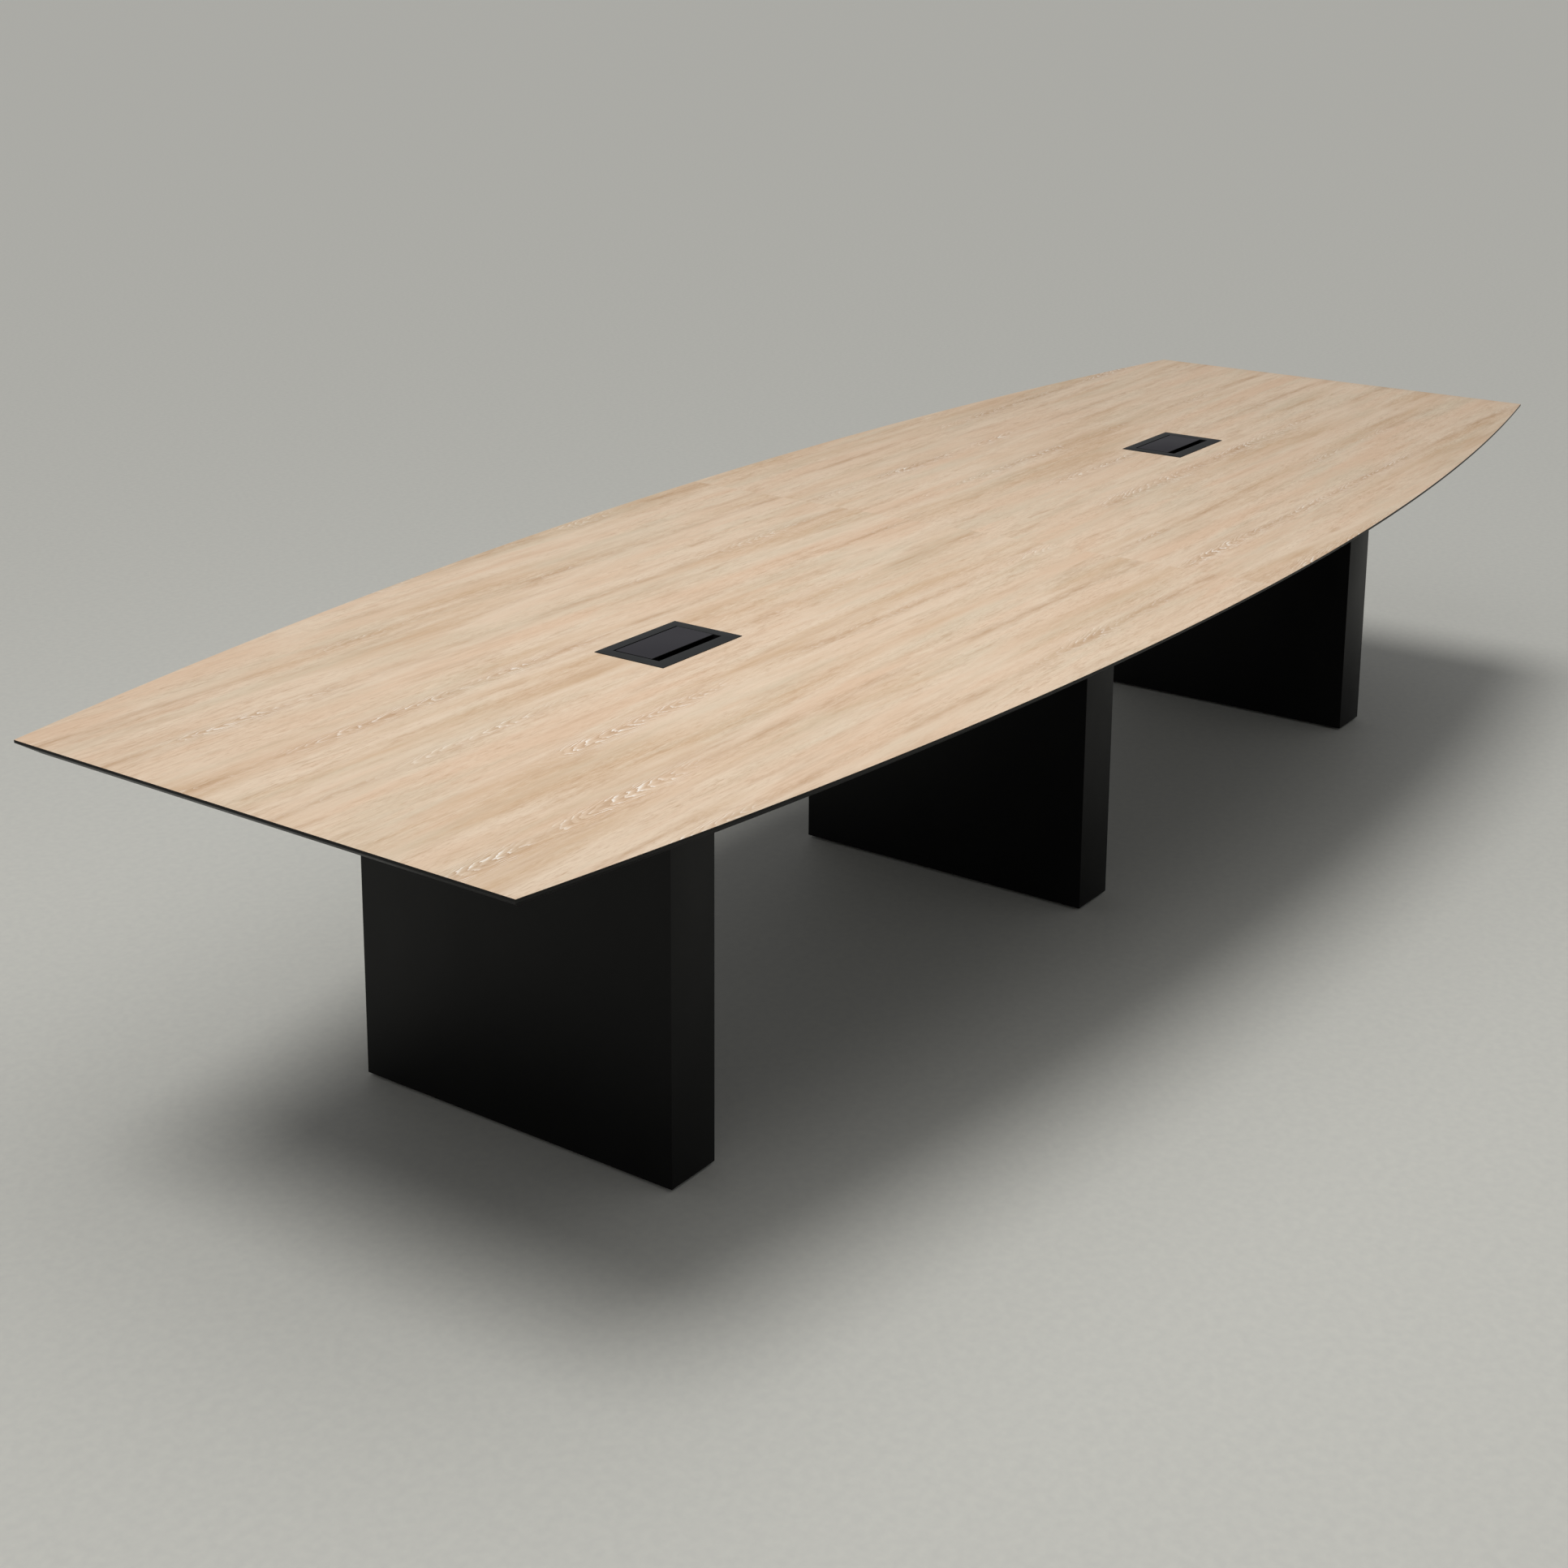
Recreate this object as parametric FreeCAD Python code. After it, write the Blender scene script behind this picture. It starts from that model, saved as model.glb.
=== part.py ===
# Boat-shaped conference table on three slab bases, with two lidded power boxes let into its top.
# Millimetres. +X runs along the table to its far end, +Y to its back long side, +Z up.
# The origin is on the floor, under the middle of the top.
import FreeCAD
import Part
import math
import os

Vector = FreeCAD.Vector
UP = Vector(0, 0, 1)
ALONG = Vector(1, 0, 0)

# Top: two halves that meet over the middle base
table_length = 3960.0
middle_width = 1400.0
side_bow = 182.0            # how far each long side bows out beyond its ends
table_height = 750.0        # floor to the face of the laminate
laminate_thickness = 1.0
core_thickness = 25.0
backer_thickness = 0.8

# Edge: lipping round the core, cut back underneath to a thin nose
lipping_depth = 32.0        # from the table's edge in to the core
nose_height = 5.0           # upright part of the edge, with the laminate on it
tongue_depth = 8.0
tongue_thickness = 8.0

# Seam between the halves
dowel_diameter = 10.0
dowel_length = 50.0
dowel_count = 6
dowel_pitch = 190.0
draw_bolt_diameter = 6.0
draw_bolt_length = 120.0
draw_bolt_head_diameter = 18.0
draw_bolt_head_length = 8.0
draw_bolt_inner_offset = 365.0   # from the centre line to the inner bolt of each side
draw_bolt_pitch = 150.0
draw_bolt_room = 1.0        # free space round a bolt in its pocket
pocket_depth = 20.0

# Bases
base_width = 680.0          # across the table
base_thickness = 115.0      # along the table
base_panel_thickness = 18.0
base_corner_radius = 1.0
base_rail_thickness = 25.0
base_rib_thickness = 18.0
end_overhang = 557.0        # table end to the outer face of an outer base
floor_gap = 6.0             # under the slabs, on the glides

# Mounting plates and their screws
plate_thickness = 5.0
plate_overhang = 50.0       # past the slab, each way along the table
plate_setback = 40.0        # short of the slab, each way across the table
screw_length = 24.0
screw_diameter = 5.0
screw_head_diameter = 10.0
screw_head_height = 2.8
screw_end_distance = 40.0   # plate's end to the outer screws
screw_hole_room = 0.1
rail_screw_pitch = 160.0
rail_screw_count = 3

# Levelling glides
glide_pad_flats = 28.0       # across the flats of its hexagon, which takes a spanner
glide_pad_chamfer = 1.5
glide_stem_diameter = 8.0
glide_stem_length = 29.0
glide_running_clearance = 0.05
glide_spread = 44.0         # between the two glides at one end of a base
glide_end_distance = 70.0   # end of the slab to its glides
tee_nut_wall = 1.5
tee_nut_flange_diameter = 20.0
tee_nut_flange_thickness = 1.5

# Power boxes
box_length = 228.0          # along the table
box_width = 152.0
base_to_box = 205.0         # clear run of top between an outer base and the box beside it
flange_thickness = 1.5
flange_chamfer = 0.8
end_flange = 24.0           # bezel flange at each end of the opening
back_flange = 22.0
front_flange = 28.0
cable_slot_width = 18.0
skirt_depth = 14.0          # bezel wall below the face of the top
skirt_wall = 2.5
tray_depth = 82.0
tray_wall = 1.5
cut_out_clearance = 1.0     # each side of the tray, in the top

# Lid and hinge
lid_thickness = 2.0
lid_end_gap = 1.5
lid_front_land = 0.8        # left of the lid's thickness at its front edge
lid_front_bevel = 4.0       # bevel under that edge, where a finger lifts it
hinge_setback = 4.0         # lid's back edge to the hinge axis
hinge_drop = 4.5            # lid's face to the hinge axis
hinge_barrel_radius = 3.0
hinge_pin_radius = 2.0
hinge_pin_clearance = 0.05
hinge_pin_reach = 2.2       # pin inside the bezel's wall
swing_clearance = 0.9       # lid's back edge to the bezel as it swings past
ledge_reach = 3.0           # lid rests, at the ends of the opening
ledge_width = 20.0
ledge_height = 3.0
ledge_offset = 6.0          # lid's front edge to its rests

# Socket block, cord inlet and clamps
socket_block_depth = 52.0
socket_back_height = 46.0
socket_front_height = 14.0
socket_top_width = 16.0
socket_end_clearance = 5.0
outlet_pitch = 44.0
outlet_length = 34.0
outlet_height = 26.0
outlet_recess = 1.2
blade_slot_length = 8.0
blade_slot_width = 1.8
blade_slot_spread = 12.0
earth_hole_diameter = 5.0
contact_depth = 7.0
charger_slot_length = 13.0
charger_slot_width = 5.5
charger_slot_pitch = 13.0
inlet_length = 40.0
inlet_width = 20.0
clamp_thickness = 2.0
clamp_reach = 28.0
clamp_height = 26.0
clamp_width = 40.0
clamp_screw_drop = 14.0     # underside of the top to the screw's axis
clamp_screw_diameter = 4.0
clamp_screw_head_diameter = 7.0
clamp_screw_head_height = 2.4
clamp_screw_tail = 2.5      # screw's end inside the tray

# Hidden fasteners, glide stems and the holes for them are rods with this many sides
rod_sides = 8

# Worked out from the sizes above
past = 50.0                 # how far a cutting solid runs past what it cuts
half_length = table_length / 2
half_width = middle_width / 2
side_radius = (half_length ** 2 + side_bow ** 2) / (2 * side_bow)
arc_centre = side_radius - half_width
core_top = table_height - laminate_thickness
core_bottom = core_top - core_thickness
underside = core_bottom - backer_thickness
core_middle = (core_top + core_bottom) / 2
base_top = underside - plate_thickness
half_base = base_thickness / 2
outer_base_x = half_length - end_overhang - half_base
box_x = outer_base_x - half_base - base_to_box - box_length / 2
plate_length = base_width - 2 * plate_setback
tee_nut_bore = glide_stem_diameter + 2 * glide_running_clearance
tee_nut_barrel = tee_nut_bore + 2 * tee_nut_wall
BASES = {"near_base": -outer_base_x, "middle_base": 0.0, "far_base": outer_base_x}
BOXES = {"near_box": -box_x, "far_box": box_x}
HALVES = {"near": -1, "far": 1}

# Power box, measured from the middle of its flange on the face of the top
opening_end = box_length / 2 - end_flange
opening_back = box_width / 2 - back_flange
opening_front = front_flange - box_width / 2
lid_end = opening_end - lid_end_gap
hinge_gap = math.hypot(hinge_setback, hinge_drop) - hinge_setback + swing_clearance
lid_back = opening_back - hinge_gap
lid_front = opening_front + cable_slot_width
lid_underside = flange_thickness - lid_thickness
hinge_y = lid_back - hinge_setback
hinge_z = flange_thickness - hinge_drop
tray_end = opening_end + skirt_wall
tray_back = opening_back + skirt_wall
tray_front = opening_front - skirt_wall
tray_middle = (tray_front + tray_back) / 2
tray_floor = tray_wall - tray_depth
socket_front = tray_back - socket_block_depth
box_underside = underside - table_height


def block(low, high):
    """Box between two corners."""
    size = [b - a for a, b in zip(low, high)]
    return Part.makeBox(*size, Vector(*low))


def prism(points, low, high):
    """Upright prism on a polygon of (x, y) points."""
    corners = [Vector(x, y, low) for x, y in points]
    face = Part.Face(Part.makePolygon(corners + corners[:1]))
    return face.extrude(UP * (high - low))


def bar(points, x_low, x_high):
    """Straight bar along X with a polygon section of (y, z) points."""
    corners = [Vector(x_low, y, z) for y, z in points]
    face = Part.Face(Part.makePolygon(corners + corners[:1]))
    return face.extrude(ALONG * (x_high - x_low))


def taper(low_points, low, high_points, high):
    """Upright solid that tapers from one polygon to another with as many corners."""
    wires = []
    for points, z in ((low_points, low), (high_points, high)):
        corners = [Vector(x, y, z) for x, y in points]
        wires.append(Part.makePolygon(corners + corners[:1]))
    return Part.makeLoft(wires, True, True)


def sided(diameter, u, v, sides=rod_sides):
    """Corners of a many-sided rod about the place (u, v), on a circle of its diameter."""
    turns = [2 * math.pi * index / sides for index in range(sides)]
    return [(u + diameter / 2 * math.cos(turn), v + diameter / 2 * math.sin(turn)) for turn in turns]


def rod(diameter, start, direction, length):
    return Part.makeCylinder(diameter / 2, length, Vector(*start), Vector(*direction))


def side_y(x, inset):
    """Half width of the top at x, a given distance inside its edge."""
    return math.sqrt((side_radius - inset) ** 2 - x ** 2) - arc_centre


def boat(inset, low, high):
    """Boat-shaped slab, a given distance inside the table's edge."""
    x = half_length - inset
    y = side_y(x, inset)
    middle = half_width - inset
    corners = [Vector(-x, -y, low), Vector(x, -y, low), Vector(x, y, low), Vector(-x, y, low)]
    front = Part.Arc(corners[0], Vector(0, -middle, low), corners[1]).toShape()
    far = Part.makeLine(corners[1], corners[2])
    back = Part.Arc(corners[2], Vector(0, middle, low), corners[3]).toShape()
    near = Part.makeLine(corners[3], corners[0])
    face = Part.Face(Part.Wire([front, far, back, near]))
    return face.extrude(UP * (high - low))


def half_of(shape, side):
    """The part of a shape on one side of the seam."""
    reach = half_length + past
    low_x, high_x = sorted((0, side * reach))
    return shape.common(block((low_x, -reach, -past), (high_x, reach, table_height + past)))


# Top and edge

def edge_section(edge, inner):
    """Half section of the top through an edge: nose, undercut and flat underside."""
    return [(inner, core_top), (edge, core_top), (edge, table_height - nose_height),
            (edge - lipping_depth, underside), (inner, underside)]


def undercut_side(side):
    """Slab whose long side, front or back, has the bowed and undercut edge."""
    centre = Vector(0, -side * arc_centre, 0)
    inner = side_radius - middle_width - past
    spread = math.degrees(math.asin((half_length + past) / inner))
    corners = [Vector(0, side * (r - arc_centre), z) for r, z in edge_section(side_radius, inner)]
    face = Part.Face(Part.makePolygon(corners + corners[:1]))
    face.rotate(centre, UP, -spread)
    return face.revolve(centre, UP, 2 * spread)


def undercut_ends():
    """Slab whose two ends have the straight and undercut edge."""
    half = edge_section(half_length, 0)[1:4]
    section = half + [(-x, z) for x, z in reversed(half)]
    corners = [Vector(x, -middle_width, z) for x, z in section]
    face = Part.Face(Part.makePolygon(corners + corners[:1]))
    return face.extrude(Vector(0, 2 * middle_width, 0))


def tongue_ring():
    low = core_middle - tongue_thickness / 2
    high = low + tongue_thickness
    return boat(lipping_depth, low, high).cut(boat(lipping_depth + tongue_depth, low, high))


def lipping_ring(tongue):
    """Whole edge of the table, before it is cut at the corners and at the seam."""
    slab = undercut_side(-1).common(undercut_side(1)).common(undercut_ends())
    ring = slab.cut(boat(lipping_depth, underside, core_top))
    return ring.fuse(tongue).removeSplitter()


def mitre_wedge(side):
    """Prism over one end of the table, with its sides on the mitres of that end."""
    inset = lipping_depth + tongue_depth
    outer = Vector(half_length, side_y(half_length, 0), 0)
    inner = Vector(half_length - inset, side_y(half_length - inset, inset), 0)
    run = (outer - inner).normalize() * past
    outer = outer + run
    inner = inner - run
    points = [(side * outer.x, -outer.y), (side * inner.x, -inner.y),
              (side * inner.x, inner.y), (side * outer.x, outer.y)]
    return prism(points, underside - past, table_height + past)


def lippings(ring):
    """Mitred end, front and back lipping of each half."""
    parts = {}
    for name, side in HALVES.items():
        wedge = mitre_wedge(side)
        half = half_of(ring, side)
        parts[name + "_end_lipping"] = half.common(wedge)
        sides = half.cut(wedge).Solids
        front, back = sorted(sides, key=lambda solid: solid.CenterOfMass.y)
        parts[name + "_front_lipping"] = front
        parts[name + "_back_lipping"] = back
    return parts


def box_cut_outs():
    """Holes in the top for the two power boxes."""
    reach = cut_out_clearance + tray_wall
    holes = []
    for x in BOXES.values():
        low = (x - tray_end - reach, tray_front - reach, underside - past)
        high = (x + tray_end + reach, tray_back + reach, table_height + past)
        holes.append(block(low, high))
    return Part.makeCompound(holes)


# Seam hardware

def dowel_places():
    first = -dowel_pitch * (dowel_count - 1) / 2
    return [first + dowel_pitch * index for index in range(dowel_count)]


def dowels():
    half = dowel_length / 2
    return [bar(sided(dowel_diameter, y, core_middle), -half, half) for y in dowel_places()]


def draw_bolt_places():
    outer = draw_bolt_inner_offset + draw_bolt_pitch
    return [-outer, -draw_bolt_inner_offset, draw_bolt_inner_offset, outer]


def draw_bolt_z():
    return underside + pocket_depth - draw_bolt_room - draw_bolt_head_diameter / 2


def draw_bolts():
    """Bolts with a clamping head at each end, across the seam."""
    parts = []
    half = draw_bolt_length / 2
    z = draw_bolt_z()
    for y in draw_bolt_places():
        bolt = bar(sided(draw_bolt_diameter, y, z), -half, half)
        for start in (-half, half - draw_bolt_head_length):
            head = bar(sided(draw_bolt_head_diameter, y, z), start, start + draw_bolt_head_length)
            bolt = bolt.fuse(head)
        parts.append(bolt.removeSplitter())
    return parts


def draw_bolt_pockets():
    """Pockets for the heads and channels for the bolts, open on the underside."""
    cuts = []
    half = draw_bolt_length / 2
    head_half = draw_bolt_head_diameter / 2 + draw_bolt_room
    channel_half = draw_bolt_diameter / 2 + draw_bolt_room
    low = underside - past
    for y in draw_bolt_places():
        channel_top = draw_bolt_z() + channel_half
        cuts.append(block((-half, y - channel_half, low), (half, y + channel_half, channel_top)))
        for side in (-1, 1):
            inner = side * (half - draw_bolt_head_length)
            outer = side * (half + draw_bolt_room)
            x_low, x_high = sorted((inner, outer))
            top = underside + pocket_depth
            cuts.append(block((x_low, y - head_half, low), (x_high, y + head_half, top)))
    return Part.makeCompound(cuts)


# Screws between the plates, the top and the slabs

def screw(x, y, seat, way, room):
    """Countersunk screw, head at its seat, that goes up or down with a way of 1 or -1, and room round it."""
    shank = sided(screw_diameter + 2 * room, x, y)
    head = sided(screw_head_diameter + 2 * room, x, y)
    neck = seat + way * screw_head_height
    end = seat + way * screw_length
    cone = taper(head, seat, shank, neck) if way > 0 else taper(shank, neck, head, seat)
    return cone.fuse(prism(shank, *sorted((neck, end)))).removeSplitter()


def top_screw_places(x):
    """Screws that go up through a plate's two overhangs into the top."""
    reach = half_base + plate_overhang / 2
    end = plate_length / 2 - screw_end_distance
    return [(x + dx, y) for dx in (-reach, reach) for y in (-end, end)]


def rail_screw_places(x):
    """Screws that go down through a plate into the top rail of its slab."""
    first = -rail_screw_pitch * (rail_screw_count - 1) / 2
    return [(x, first + rail_screw_pitch * index) for index in range(rail_screw_count)]


def screws(room=0.0):
    """All the wood screws, or with room the holes that they pass through in the plates."""
    parts = []
    for x in BASES.values():
        parts += [screw(px, py, base_top, 1, room) for px, py in top_screw_places(x)]
        parts += [screw(px, py, underside, -1, room) for px, py in rail_screw_places(x)]
    return parts


# Bases

def slab_shell():
    """Hollow slab of a base, before it is cut at its mitred corners."""
    half = base_width / 2
    outer = block((-half_base, -half, floor_gap), (half_base, half, base_top))
    uprights = [edge for edge in outer.Edges if edge.BoundBox.ZLength > base_top / 2]
    outer = outer.makeFillet(base_corner_radius, uprights)
    wall = base_panel_thickness
    return outer.cut(block((wall - half_base, wall - half, floor_gap - past),
                           (half_base - wall, half - wall, base_top + past)))


def slab_wedges():
    """Prisms that split the shell along its four mitres."""
    half = base_width / 2
    wall = base_panel_thickness
    grow = past - wall
    x_out, y_out = half_base + grow, half + grow
    x_in, y_in = half_base - wall, half - wall
    low, high = floor_gap - past, base_top + past
    shapes = {}
    for name, side in (("near_face", -1), ("far_face", 1)):
        points = [(side * x_out, -y_out), (side * x_out, y_out), (side * x_in, y_in), (side * x_in, -y_in)]
        shapes[name] = prism(points, low, high)
    for name, side in (("front_end", -1), ("back_end", 1)):
        points = [(-x_out, side * y_out), (x_out, side * y_out), (x_in, side * y_in), (-x_in, side * y_in)]
        shapes[name] = prism(points, low, high)
    return shapes


def slab_inside(y_half, low, high):
    """Board that fills the slab from face to face."""
    x = half_base - base_panel_thickness
    return block((-x, -y_half, low), (x, y_half, high))


def glide_places():
    x = glide_spread / 2
    y = base_width / 2 - glide_end_distance
    return [(-x, -y), (x, -y), (-x, y), (x, y)]


def glide(x, y):
    """Hexagonal foot pad with its stem, standing on the floor."""
    corner_diameter = glide_pad_flats / math.cos(math.pi / 6)
    pad = prism(sided(corner_diameter, x, y, 6), 0, floor_gap)
    sole = [edge for edge in pad.Edges if edge.BoundBox.ZMax < floor_gap / 2]
    stem = prism(sided(glide_stem_diameter, x, y), floor_gap, floor_gap + glide_stem_length)
    return pad.makeChamfer(glide_pad_chamfer, sole).fuse(stem)


def tee_nut(x, y):
    """Threaded barrel in the bottom rail, with its flange on top of the rail."""
    seat = floor_gap + base_rail_thickness
    top = seat + tee_nut_flange_thickness
    barrel = prism(sided(tee_nut_barrel, x, y), floor_gap, seat)
    flange = prism(sided(tee_nut_flange_diameter, x, y), seat, top)
    bore = prism(sided(tee_nut_bore, x, y), floor_gap, top)
    return barrel.fuse(flange).cut(bore).removeSplitter()


def tee_nut_holes():
    rail_top = floor_gap + base_rail_thickness
    return [prism(sided(tee_nut_barrel, x, y), floor_gap, rail_top) for x, y in glide_places()]


def base_parts(name, x, screw_set):
    """Panels, rails, plate and glides of one base, with the rib and tee nuts that are grouped."""
    parts = {}
    shell = slab_shell()
    for panel, wedge in slab_wedges().items():
        parts[f"{name}_{panel}"] = shell.common(wedge)
    inside = base_width / 2 - base_panel_thickness
    rail_top = floor_gap + base_rail_thickness
    rail_bottom = base_top - base_rail_thickness
    parts[name + "_top_rail"] = slab_inside(inside, rail_bottom, base_top)
    parts[name + "_bottom_rail"] = slab_inside(inside, floor_gap, rail_top).cut(tee_nut_holes())
    plate_x = half_base + plate_overhang
    plate_y = plate_length / 2
    parts[name + "_plate"] = block((-plate_x, -plate_y, base_top), (plate_x, plate_y, underside))
    rib = slab_inside(base_rib_thickness / 2, rail_top, rail_bottom)
    nuts = [tee_nut(*place) for place in glide_places()]
    for number, place in enumerate(glide_places(), 1):
        parts[f"{name}_glide_{number}"] = glide(*place)
    for shape in [*parts.values(), rib, *nuts]:
        shape.translate(ALONG * x)
    parts[name + "_top_rail"] = parts[name + "_top_rail"].cut(screw_set)
    parts[name + "_plate"] = parts[name + "_plate"].cut(screws(screw_hole_room))
    return parts, rib, nuts


# Power boxes

def bezel():
    """Flange and skirt round the opening, with the lid's rests and pin holes."""
    x, y = box_length / 2, box_width / 2
    flange = block((-x, -y, 0), (x, y, flange_thickness))
    rim = [edge for edge in flange.Edges
           if edge.BoundBox.ZMin > flange_thickness / 2]
    flange = flange.makeChamfer(flange_chamfer, rim)
    skirt = block((-tray_end, tray_front, -skirt_depth), (tray_end, tray_back, 0))
    opening = block((-opening_end, opening_front, -past), (opening_end, opening_back, past))
    shape = flange.fuse(skirt).cut(opening)
    rest_front = lid_front + ledge_offset
    for side in (-1, 1):
        x_low, x_high = sorted((side * opening_end, side * (opening_end - ledge_reach)))
        ledge = block((x_low, rest_front, lid_underside - ledge_height),
                      (x_high, rest_front + ledge_width, lid_underside))
        shape = shape.fuse(ledge)
    hole = 2 * (hinge_pin_radius + hinge_pin_clearance)
    shape = shape.cut(rod(hole, (-tray_end, hinge_y, hinge_z), (1, 0, 0), 2 * tray_end))
    return shape.removeSplitter()


def lid():
    """Flush lid, bevelled under its front edge, with a hinge barrel at its back and a pin at each end."""
    section = [(lid_back, flange_thickness), (lid_front, flange_thickness),
               (lid_front, flange_thickness - lid_front_land),
               (lid_front + lid_front_bevel, lid_underside), (lid_back, lid_underside)]
    plate = bar(section, -lid_end, lid_end)
    barrel = rod(2 * hinge_barrel_radius, (-lid_end, hinge_y, hinge_z), (1, 0, 0), 2 * lid_end)
    pin_end = opening_end + hinge_pin_reach
    pin = rod(2 * hinge_pin_radius, (-pin_end, hinge_y, hinge_z), (1, 0, 0), 2 * pin_end)
    return plate.fuse([barrel, pin]).removeSplitter()


def tray():
    """Open box hung under the bezel's flange, with the cord inlet in its floor."""
    wall = tray_wall
    shape = block((-tray_end - wall, tray_front - wall, -tray_depth), (tray_end + wall, tray_back + wall, 0))
    shape = shape.cut(block((-tray_end, tray_front, tray_floor), (tray_end, tray_back, past)))
    inlet_y = (tray_front + socket_front) / 2
    straight = (inlet_length - inlet_width) / 2
    inlet = block((-straight, inlet_y - inlet_width / 2, -tray_depth),
                  (straight, inlet_y + inlet_width / 2, tray_floor))
    for x in (-straight, straight):
        inlet = inlet.fuse(rod(inlet_width, (x, inlet_y, -tray_depth), (0, 0, 1), tray_wall))
    return shape.cut(inlet).cut(clamp_screws(hole=True))


def outlet_cuts():
    """Recess, blade slots and earth hole of one outlet, on a face at z = 0."""
    x, y = outlet_length / 2, outlet_height / 2
    cuts = [block((-x, -y, -outlet_recess), (x, y, past))]
    for side in (-1, 1):
        middle = side * blade_slot_spread / 2
        cuts.append(block((middle - blade_slot_width / 2, 0, -contact_depth),
                          (middle + blade_slot_width / 2, blade_slot_length, past)))
    cuts.append(rod(earth_hole_diameter, (0, -y / 2, -contact_depth), (0, 0, 1), contact_depth))
    return Part.makeCompound(cuts)


def charger_cuts():
    """Two charger slots, one above the other, on a face at z = 0."""
    x = charger_slot_length / 2
    cuts = []
    for side in (-1, 1):
        middle = side * charger_slot_pitch / 2
        cuts.append(block((-x, middle - charger_slot_width / 2, -contact_depth),
                          (x, middle + charger_slot_width / 2, past)))
    return Part.makeCompound(cuts)


def socket_block():
    """Wedge along the back of the tray, with outlets on its sloping face."""
    low = tray_floor
    top_front = tray_back - socket_top_width
    section = [(tray_back, low), (tray_back, low + socket_back_height), (top_front, low + socket_back_height),
               (socket_front, low + socket_front_height), (socket_front, low)]
    end = tray_end - socket_end_clearance
    shape = bar(section, -end, end)
    rise = socket_back_height - socket_front_height
    slope = math.degrees(math.atan2(rise, top_front - socket_front))
    middle_y = (top_front + socket_front) / 2
    middle_z = low + (socket_back_height + socket_front_height) / 2
    cuts = [outlet_cuts(), outlet_cuts(), outlet_cuts(), charger_cuts()]
    for index, cut in enumerate(cuts):
        cut.rotate(Vector(0, 0, 0), ALONG, slope)
        cut.translate(Vector((index - 1.5) * outlet_pitch, middle_y, middle_z))
        shape = shape.cut(cut)
    return shape


def clamps():
    """Angle brackets against the ends of the tray and the underside of the top."""
    low = box_underside - clamp_height
    wall = tray_end + tray_wall
    shapes = []
    for side in (-1, 1):
        section = [(side * wall, box_underside), (side * (wall + clamp_reach), box_underside),
                   (side * (wall + clamp_reach), box_underside - clamp_thickness),
                   (side * (wall + clamp_thickness), box_underside - clamp_thickness),
                   (side * (wall + clamp_thickness), low), (side * wall, low)]
        corners = [Vector(x, tray_middle - clamp_width / 2, z) for x, z in section]
        face = Part.Face(Part.makePolygon(corners + corners[:1]))
        shapes.append(face.extrude(Vector(0, clamp_width, 0)).cut(clamp_screws(hole=True)))
    return shapes


def clamp_screws(hole=False):
    """Screws through the clamps into the tray, or the holes for their shanks."""
    seat = tray_end + tray_wall + clamp_thickness
    tail = tray_end - clamp_screw_tail
    face = seat + clamp_screw_head_height
    z = box_underside - clamp_screw_drop
    shapes = []
    for side in (-1, 1):
        screw = bar(sided(clamp_screw_diameter, tray_middle, z), *sorted((side * tail, side * seat)))
        if not hole:
            head = bar(sided(clamp_screw_head_diameter, tray_middle, z), *sorted((side * seat, side * face)))
            screw = screw.fuse(head)
        shapes.append(screw)
    return shapes


def box_parts(name, x):
    """Pieces of one power box, with the clamps and screws that are grouped."""
    parts = {name + "_bezel": bezel(), name + "_lid": lid(), name + "_tray": tray(),
             name + "_sockets": socket_block()}
    brackets = clamps()
    bolts = clamp_screws()
    for shape in [*parts.values(), *brackets, *bolts]:
        shape.translate(Vector(x, 0, table_height))
    return parts, brackets, bolts


# Whole table

def top_parts(screw_set):
    parts = {}
    tongue = tongue_ring()
    cut_outs = box_cut_outs()
    pockets = draw_bolt_pockets()
    core = boat(lipping_depth, core_bottom, core_top).cut(tongue).cut(cut_outs)
    core = core.cut(dowels()).cut(pockets).cut(screw_set)
    laminate = boat(0, core_top, table_height).cut(cut_outs)
    backer = boat(lipping_depth, underside, core_bottom).cut(cut_outs).cut(pockets).cut(screw_set)
    for name, side in HALVES.items():
        parts[name + "_top_panel"] = half_of(core, side)
        parts[name + "_top_laminate"] = half_of(laminate, side)
        parts[name + "_top_backer"] = half_of(backer, side)
    parts.update(lippings(lipping_ring(tongue)))
    parts["seam_dowels"] = Part.makeCompound(dowels())
    parts["seam_bolts"] = Part.makeCompound(draw_bolts())
    return parts


def table():
    screw_set = screws()
    parts = top_parts(screw_set)
    parts["wood_screws"] = Part.makeCompound(screw_set)
    ribs, nuts, brackets, bolts = [], [], [], []
    for name, x in BASES.items():
        base, rib, base_nuts = base_parts(name, x, screw_set)
        parts.update(base)
        ribs.append(rib)
        nuts.extend(base_nuts)
    for name, x in BOXES.items():
        box, box_brackets, box_bolts = box_parts(name, x)
        parts.update(box)
        brackets.extend(box_brackets)
        bolts.extend(box_bolts)
    parts["base_ribs"] = Part.makeCompound(ribs)
    parts["tee_nuts"] = Part.makeCompound(nuts)
    parts["box_clamps"] = Part.makeCompound(brackets)
    parts["box_screws"] = Part.makeCompound(bolts)
    return parts


os.makedirs("parts", exist_ok=True)
for node, shape in table().items():
    shape.exportStep(f"parts/{node}.step")
    print(node, len(shape.Solids), "solid" if len(shape.Solids) == 1 else "solids", shape.isValid())
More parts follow.
